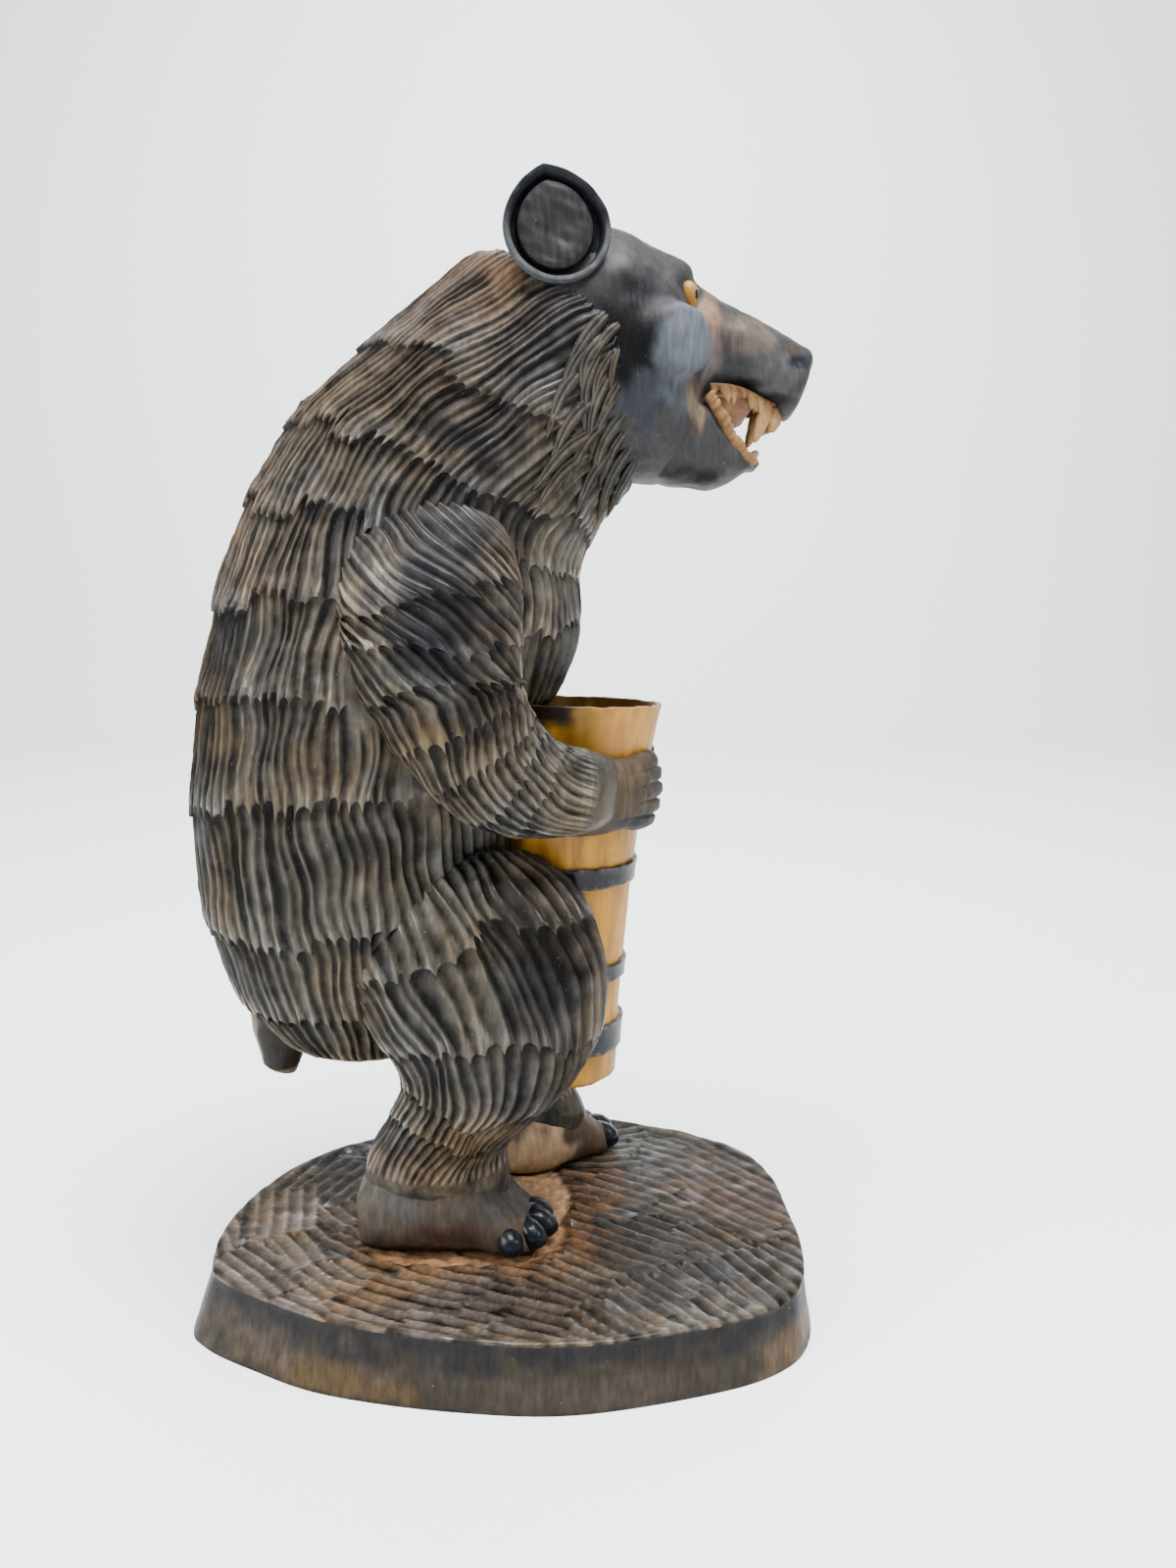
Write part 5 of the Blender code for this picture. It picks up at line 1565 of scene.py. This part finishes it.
def strip_skin(rows, rise, low):
    """Ragged strip of teeth that runs round the jaw from its right corner to its left one.

    A ring goes round from the gum to the edge: height * (1 - cos) / 2 along the rise,
    and half the thickness * sin aside. Between the teeth the height drops to the share low.
    Painted shade makes the wood darker at the gum and between the teeth.
    """
    count, columns = FINENESS["teeth"]
    rows = np.array(rows, float)
    rows = np.concatenate([rows, (rows * (1, -1, 1, 1, 1))[-2::-1]])
    path = flow(rows, np.linspace(0, 1, count))
    gum = path[:, :3]
    steps = np.linalg.norm(np.diff(gum, axis=0), axis=1)
    length = np.append(0.0, np.cumsum(steps))
    rise = unit(np.array(rise))
    aside = unit(np.cross(np.gradient(gum, axis=0), rise))
    wave = np.abs(np.sin(math.pi * length / TOOTH_PITCH + TOOTH_STRAY * wobble(gum, 6.0, 83)))
    high = path[:, 3] * (low + (1 - low) * wave**0.7)
    high *= 1 + (0.06 + 0.4 * (1 - low)) * wobble(gum, 4.0, 84)
    section = around(columns)
    up = high[:, None] * (1 - rounded(np.cos(section), 0.8)) / 2 - 1.0
    out = path[:, 4:] * rounded(np.sin(section), 0.6) * (1 - 0.45 * (1 - np.cos(section)) / 2)
    grid = gum[:, None] + up[..., None] * rise + out[..., None] * aside[:, None]
    grid = grid + 0.12 * wobble(grid, 1.8, 85)[..., None] * aside[:, None]
    # painted shade: lighter at the teeth's edges, darker at the gum and between the teeth
    bright = (0.2 + 0.8 * smoothstep(wave * 1.4))[:, None] * (0.55 - 0.45 * np.cos(section))
    return grid, marks_for(grid, exposure=0.42 * bright + 0.05 * wobble(grid, 2.0, 86))


class BuildTail(bpy.types.Operator):
    """Shape the short tail, cut off square below"""

    bl_idname = "carved_bear.tail"
    bl_label = "Tail"

    def execute(self, context):
        grid = smooth_skin("tail", TAIL, seed=101)
        dress(ring_mesh("tail", grid, marks_for(grid, TAIL_PAINT, TAIL_TINT)), skin_finish())
        return {"FINISHED"}


class BuildTub(bpy.types.Operator):
    """Turn the hollow tub and its three painted hoops"""

    bl_idname = "carved_bear.tub"
    bl_label = "Tub and hoops"

    def execute(self, context):
        outer = np.linspace(TUB_EDGE, TUB_HEIGHT, TUB_RINGS[0])
        inner = np.linspace(TUB_HEIGHT, TUB_FLOOR, TUB_RINGS[1])
        wall = TUB_LIP + (TUB_WALL - TUB_LIP) * smoothstep((TUB_HEIGHT - inner) / LIP_DEEP)
        radius = np.concatenate([[TUB_HEART, TUB_FOOT_RADIUS - TUB_EDGE], tub_radius(outer),
                                 tub_radius(inner) - wall, [TUB_HEART]])
        height = np.concatenate([[0.0, 0.0], outer, inner, [TUB_FLOOR]])
        radius, turn = np.meshgrid(radius, around(TUB_COLUMNS), indexing="ij")
        height = np.broadcast_to(height[:, None], radius.shape)
        near_rim = smoothstep((height - TUB_HEIGHT + RIM_BAND) / RIM_BAND)
        chips = np.maximum(wobble(grid_on_ring(turn), 9.0, 112), -0.5) + 0.5
        rise = (RIM_RISE[0] - RIM_RISE[1] * np.sin(turn)) * np.clip(height / TUB_HEIGHT, 0, 1) ** 3
        height = height - near_rim * RIM_CHIP * chips + rise
        grid = turned(radius, height, turn)
        grid = grid + outward(grid) * (0.10 * wobble(grid * (1, 1, 0.2), 4.0, 111) - 0.1)[..., None]
        marks = marks_for(grid, TUB_PAINT)
        golden = finish("golden_wood", bare_finish, tuple(colours().tub), gloss=0.4, coat=0.12)
        dress(ring_mesh("tub", grid, marks), golden, 40)
        for number, (width, place) in enumerate(zip(HOOP_WIDTHS, HOOP_PLACES)):
            self.hoop(f"hoop_{number}", width, place * TUB_HEIGHT)
        return {"FINISHED"}

    def hoop(self, name, width, middle):
        """Flat band round the staves with worn edges, its section a squared oval."""
        turn, section = np.meshgrid(*map(around, FINENESS["hoop"]), indexing="ij")
        height = middle + rounded(np.sin(section), HOOP_SQUARE) * width / 2
        past = (np.abs(height - middle) - width * HOOP_WORN) / HOOP_WORN_FADE
        edge = np.exp(-(past**2))
        radius = tub_radius(height) + rounded(np.cos(section), HOOP_SQUARE) * HOOP_PROUD
        radius = radius + HOOP_EDGE * edge
        grid = turned(radius, height, turn)
        grid = grid + 0.16 * wobble(grid, 6.0, 121)[..., None] * (0, 0, 1)
        dress(ring_mesh(name, grid, {"exposure": edge}, loop=True), black_finish(),
              50)


def grid_on_ring(turn):
    """Points on the rim's circle, so that unevenness there closes on itself."""
    return np.stack([np.cos(turn), np.sin(turn), 0 * turn], -1) * TUB_RIM


class BuildPlinth(bpy.types.Operator):
    """Cut the plinth's board and the scoops in its top"""

    bl_idname = "carved_bear.plinth"
    bl_label = "Plinth"

    def execute(self, context):
        grid, marks = plinth_skin()
        dress(ring_mesh("plinth", grid, marks), fur_finish())
        return {"FINISHED"}


def stroke_angle(x, y):
    """Direction of the gouge strokes there, in radians: doubled angles of the table's rows,
    weighed by one over their squared distance."""
    table = np.array(STROKES, float)
    weight = 1 / ((x - table[:, 0]) ** 2 + (y - table[:, 1]) ** 2 + 9)
    double = np.radians(2 * table[:, 2])
    return 0.5 * math.atan2((weight * np.sin(double)).sum(), (weight * np.cos(double)).sum())


def scoop_depth(x, y, seed=131):
    """Depth of the plinth's scoops, how far their ridges stand out, and their tone.

    Fans of parallel strokes lie on a staggered grid, in a drawn order, and each cuts
    away what was there. A scoop is 1 - |b|^2.4 across and, along it, starts round and
    runs out shallow.
    """
    draw = np.random.default_rng(seed)
    depth = np.full(x.shape, UNCUT_DEPTH)
    ridge = np.full(x.shape, UNCUT_LIGHT)
    tone = np.zeros(x.shape)
    wide, high = FAN_SPACING
    fans = [(column * wide + (row % 2) * wide / 2, row * high)
            for row in FAN_ROWS for column in FAN_COLUMNS]
    fans = draw.permutation(np.array(fans)) + draw.uniform(-FAN_STRAY, FAN_STRAY, (len(fans), 2))
    for cx, cy in fans:
        angle = stroke_angle(cx, cy)
        near = np.hypot(x - cx, y - cy) < STROKE_LENGTH
        px, py = x[near] - cx, y[near] - cy
        along = px * math.cos(angle) + py * math.sin(angle)
        aside = py * math.cos(angle) - px * math.sin(angle)
        aside = aside - draw.uniform(-STROKE_BEND, STROKE_BEND) * along**2
        slides = draw.uniform(-STROKE_SLIDE, STROKE_SLIDE, FAN_STROKES + 2)
        shades = draw.uniform(-1, 1, FAN_STROKES + 2)
        bites = draw.uniform(*STROKE_BITES, FAN_STROKES + 2)
        number = np.clip(np.round(aside / STROKE_PITCH), -FAN_STROKES // 2, FAN_STROKES // 2)
        b = np.clip(2 * (aside / STROKE_PITCH - number), -1, 1)
        number = number.astype(int) + FAN_STROKES // 2 + 1
        t = (along - slides[number]) / STROKE_LENGTH + 0.5 - STROKE_ROUND * np.sqrt(1 - b**2)
        end = np.sqrt(np.clip(t / STROKE_ENTRY, 0, 1))
        end = end * np.clip((1 - t) / STROKE_RUN_OUT, 0, 1) ** 0.7
        inside = (t > 0) & (t < 1) & (np.abs(aside) < STROKE_PITCH * FAN_STROKES / 2)
        slant = smoothstep((b + 0.8) / 1.4)
        bowl = (1 - np.abs(b) ** STROKE_BOWL) * (1.25 - 0.5 * slant)
        here = STROKE_DEPTH * bites[number] * bowl * end + 0.35 * np.clip((1 - t) / 0.3, 0, 1)
        depth[near] = np.where(inside, here, depth[near])
        # light ridges, and painted shading across the scoop: dark beside its steep side, lighter
        # towards the other
        light = 0.45 * np.abs(b) ** 4 + BOWL_SHADING * slant
        ridge[near] = np.where(inside, light, ridge[near])
        tone[near] = np.where(inside, shades[number], tone[near])
    return depth, ridge, tone


def plinth_skin():
    """Board with a hand-cut outline: rings from the middle of its underside, out to its
    flared edge, up the side and over the gouged top to its middle."""
    side_rings, bevel_rings, top_rings = PLINTH_RINGS
    shares = PLINTH_OUTLINE[-3:] + PLINTH_OUTLINE + PLINTH_OUTLINE[:4]
    way = np.arange(PLINTH_COLUMNS) / PLINTH_COLUMNS
    span = (way * len(PLINTH_OUTLINE) + 3) / (len(shares) - 1)
    half = np.array([PLINTH_LENGTH, PLINTH_WIDTH]) / 2
    edge = flow(shares, span) * half
    corner = edge @ np.array(WORN_CORNER) / half.max()
    spread = PLINTH_FLARE + PLINTH_SPREAD * np.clip(corner, 0, 1) ** 3
    rows = []

    def ring(outset, height):
        flat = edge * (1 + np.broadcast_to(outset, PLINTH_COLUMNS) / half.min())[:, None]
        rows.append(np.column_stack([flat, np.broadcast_to(height, PLINTH_COLUMNS)]))

    for share in UNDERSIDE_RINGS:
        ring(spread - (1 - share) * half.min(), -GROUND_PARTS)
    for share in np.linspace(0, 1, side_rings):
        ring(spread * (1 - share), -GROUND_PARTS + share * (GROUND_PARTS - PLINTH_BEVEL))
    side_rows = len(rows)
    for share in np.linspace(0, 1, bevel_rings)[1:]:
        ring(-PLINTH_BEVEL * (1 - math.cos(share * math.pi / 2)),
             -PLINTH_BEVEL * (1 - math.sin(share * math.pi / 2)))
    bevel_rows = len(rows)
    for inward in np.linspace(PLINTH_BEVEL + 0.6, half.min() - 0.6, top_rings):
        ring(-inward, 0.0)
    grid = np.array(rows)
    x, y = grid[..., 0], grid[..., 1]
    depth, ridge, tone = scoop_depth(x, y)
    top = np.zeros(grid.shape[:2])
    top[side_rows:] = 1.0
    rim = smoothstep((np.arange(len(grid)) - bevel_rows) / 5)[:, None]
    reach = np.array([np.hypot((x - ox) / rx, (y - oy) / ry) for ox, oy, rx, ry in RECESS])
    recess = smoothstep((RECESS_EDGE - reach.min(axis=0)) / RECESS_SLOPE
                        + RECESS_RAGGED * wobble(grid, 5.0, 143))
    cx, cy, rx, ry = SMOOTH_TOP
    calm = smoothstep((1.2 - np.hypot((x - cx) / rx, (y - cy) / ry)) / 0.4)
    cut = (depth * (1 - CALM_TOP * calm) * (1 - recess) * rim
           + (RECESS_DEPTH + 0.4 * wobble(grid, 5.0, 142)) * recess)
    grid[..., 2] -= top * (cut + TOP_UNEVEN * (1 + wobble(grid, 8.0, 141)))
    side = (1 - top) * (grid[..., 2] > -GROUND_PARTS + 0.1)
    worn = SIDE_UNEVEN * (1 + 0.9 * wobble(grid * (1, 1, 0.4), 14.0, 151))
    grid = grid - outward(grid) * (side * np.clip(worn, 0, 1))[..., None]
    marks = marks_for(grid, SIDE_PAINT, PLINTH_TINT)
    marks["exposure"] = np.clip(ridge, 0.1, 1) * top + SIDE_LIGHT * (1 - top)
    marks["tone"] = tone * top
    lay(marks, patches(grid, RECESS_PAINT)[..., :3], top * recess)
    cover = marks["paint"][..., 3] * (1 - top)
    marks["paint"][..., 3] = np.maximum(cover, RECESS_COVER * top * recess)
    return grid, marks


# Lights in metres and watts: name, place, what it looks at, size, power
LIGHTS = (
    ("overhead_light", (0.10, -0.25, 1.25), (0, 0, 0.1), 0.9, 66.0),
    ("left_light", (-1.1, -0.7, 0.7), (0, 0, 0.15), 0.9, 26.0),
    ("right_light", (1.2, -0.5, 0.8), (0, 0, 0.15), 0.7, 9.0),
    ("wall_light", (0.0, 0.55, 1.0), (0, 1.45, 0.35), 0.6, 14.0),
)
SKY_COLOUR, SKY_STRENGTH = (0.86, 0.90, 0.95, 1.0), 0.45
LENS, SENSOR, CLIP = 29.25, 36.0, 0.01
CAMERA_PLACE, CAMERA_TILT = (0.0226, -0.348, 0.2065), math.radians(80.0)
FLOOR_HALF, FLOOR_FRONT, FLOOR_BACK = 2.5, -2.0, 1.1   # metres to each side, ahead and back
FLOOR_BEND, WALL_HIGH = 0.35, 2.2
BEND_FROM, WALL_FROM = 0.5, 0.7          # shares of the sheet's length
FLOOR_ROWS, FLOOR_COLUMNS = 61, 9


class BuildStage(bpy.types.Operator):
    """Lay the pale floor with its curved backdrop, and set the lights and the camera"""

    bl_idname = "carved_bear.stage"
    bl_label = "Floor, light and camera"

    def execute(self, context):
        self.floor()
        for row in LIGHTS:
            self.light(*row)
        world = bpy.data.worlds.new("studio")
        world.use_nodes = True
        back = world.node_tree.nodes["Background"]
        back.inputs["Color"].default_value = SKY_COLOUR
        back.inputs["Strength"].default_value = SKY_STRENGTH
        context.scene.world = world
        self.camera(context)
        return {"FINISHED"}

    def floor(self):
        """Sheet that runs level from the front and curves up behind into a wall."""
        wide = np.linspace(-FLOOR_HALF, FLOOR_HALF, FLOOR_COLUMNS)
        run = np.linspace(0, 1, FLOOR_ROWS)
        flat = np.clip(run / BEND_FROM, 0, 1)
        curve = np.clip((run - BEND_FROM) / (WALL_FROM - BEND_FROM), 0, 1) * math.pi / 2
        rise = np.clip((run - WALL_FROM) / (1 - WALL_FROM), 0, 1)
        y = FLOOR_FRONT + flat * (FLOOR_BACK - FLOOR_FRONT) + FLOOR_BEND * np.sin(curve)
        z = FLOOR_BEND * (1 - np.cos(curve)) + rise * WALL_HIGH
        x, y = np.meshgrid(wide, y)
        z = np.broadcast_to(z[:, None], x.shape)
        points = np.stack([x, y, z], -1).reshape(-1, 3)
        number = np.arange(x.size).reshape(x.shape)
        quads = np.stack([number[:-1, :-1], number[:-1, 1:], number[1:, 1:], number[1:, :-1]], -1)
        mesh = bpy.data.meshes.new("floor")
        mesh.from_pydata(points.tolist(), [], quads.reshape(-1, 4).tolist())
        mesh.shade_smooth()
        floor = bpy.data.objects.new("floor", mesh)
        bpy.context.scene.collection.objects.link(floor)
        made = Finish("pale_floor")
        made.set(roughness=0.6, base_color=tuple(colours().floor) + (1.0,))
        mesh.materials.append(made.material)

    def light(self, name, place, target, size, power):
        """Round soft light that looks at a target."""
        data = bpy.data.lights.new(name, "AREA")
        data.shape = "DISK"
        data.size = size
        data.energy = power
        lamp = bpy.data.objects.new(name, data)
        lamp.location = place
        aim = np.array(target) - np.array(place)
        flat = math.hypot(aim[0], aim[1])
        lamp.rotation_euler = (math.atan2(flat, -aim[2]), 0.0, math.atan2(-aim[0], aim[1]))
        bpy.context.scene.collection.objects.link(lamp)

    def camera(self, context):
        """Camera at the photograph's angle."""
        data = bpy.data.cameras.new("camera")
        data.lens = LENS
        data.sensor_width = SENSOR
        data.clip_start = CLIP
        camera = bpy.data.objects.new("camera", data)
        camera.location = CAMERA_PLACE
        camera.rotation_euler = (CAMERA_TILT, 0.0, 0.0)
        context.scene.collection.objects.link(camera)
        context.scene.camera = camera


OPERATORS = (BuildTrunk, BuildArms, BuildLegs, BuildFeet, BuildPaws, BuildHead, BuildRuff, BuildEars,
             BuildFace, BuildTail, BuildTub, BuildPlinth, BuildStage)


class CarvedBearPanel(bpy.types.Panel):
    """Lists the carved bear's pieces, sizes and colours"""

    bl_idname = "VIEW3D_PT_carved_bear"
    bl_label = "Carved Bear"
    bl_space_type = "VIEW_3D"
    bl_region_type = "UI"
    bl_category = "Carved Bear"

    def draw(self, context):
        for group in (sizes(), colours()):
            for name in group.bl_rna.properties.keys():
                if name not in ("rna_type", "name"):
                    self.layout.prop(group, name)
        for operator in OPERATORS:
            self.layout.operator(operator.bl_idname)


CLASSES = (BearSizes, BearColours) + OPERATORS + (CarvedBearPanel,)


def register():
    """Registers the classes and hangs the settings on the scene."""
    for kind in CLASSES:
        bpy.utils.register_class(kind)
    bpy.types.Scene.carved_bear_sizes = bpy.props.PointerProperty(type=BearSizes)
    bpy.types.Scene.carved_bear_colours = bpy.props.PointerProperty(type=BearColours)


def unregister():
    """Takes the settings and the classes away."""
    del bpy.types.Scene.carved_bear_colours
    del bpy.types.Scene.carved_bear_sizes
    for kind in reversed(CLASSES):
        bpy.utils.unregister_class(kind)


def main():
    """Builds every piece in order."""
    register()
    for operator in OPERATORS:
        group, name = operator.bl_idname.split(".")
        getattr(getattr(bpy.ops, group), name)()


if __name__ == "__main__":
    main()
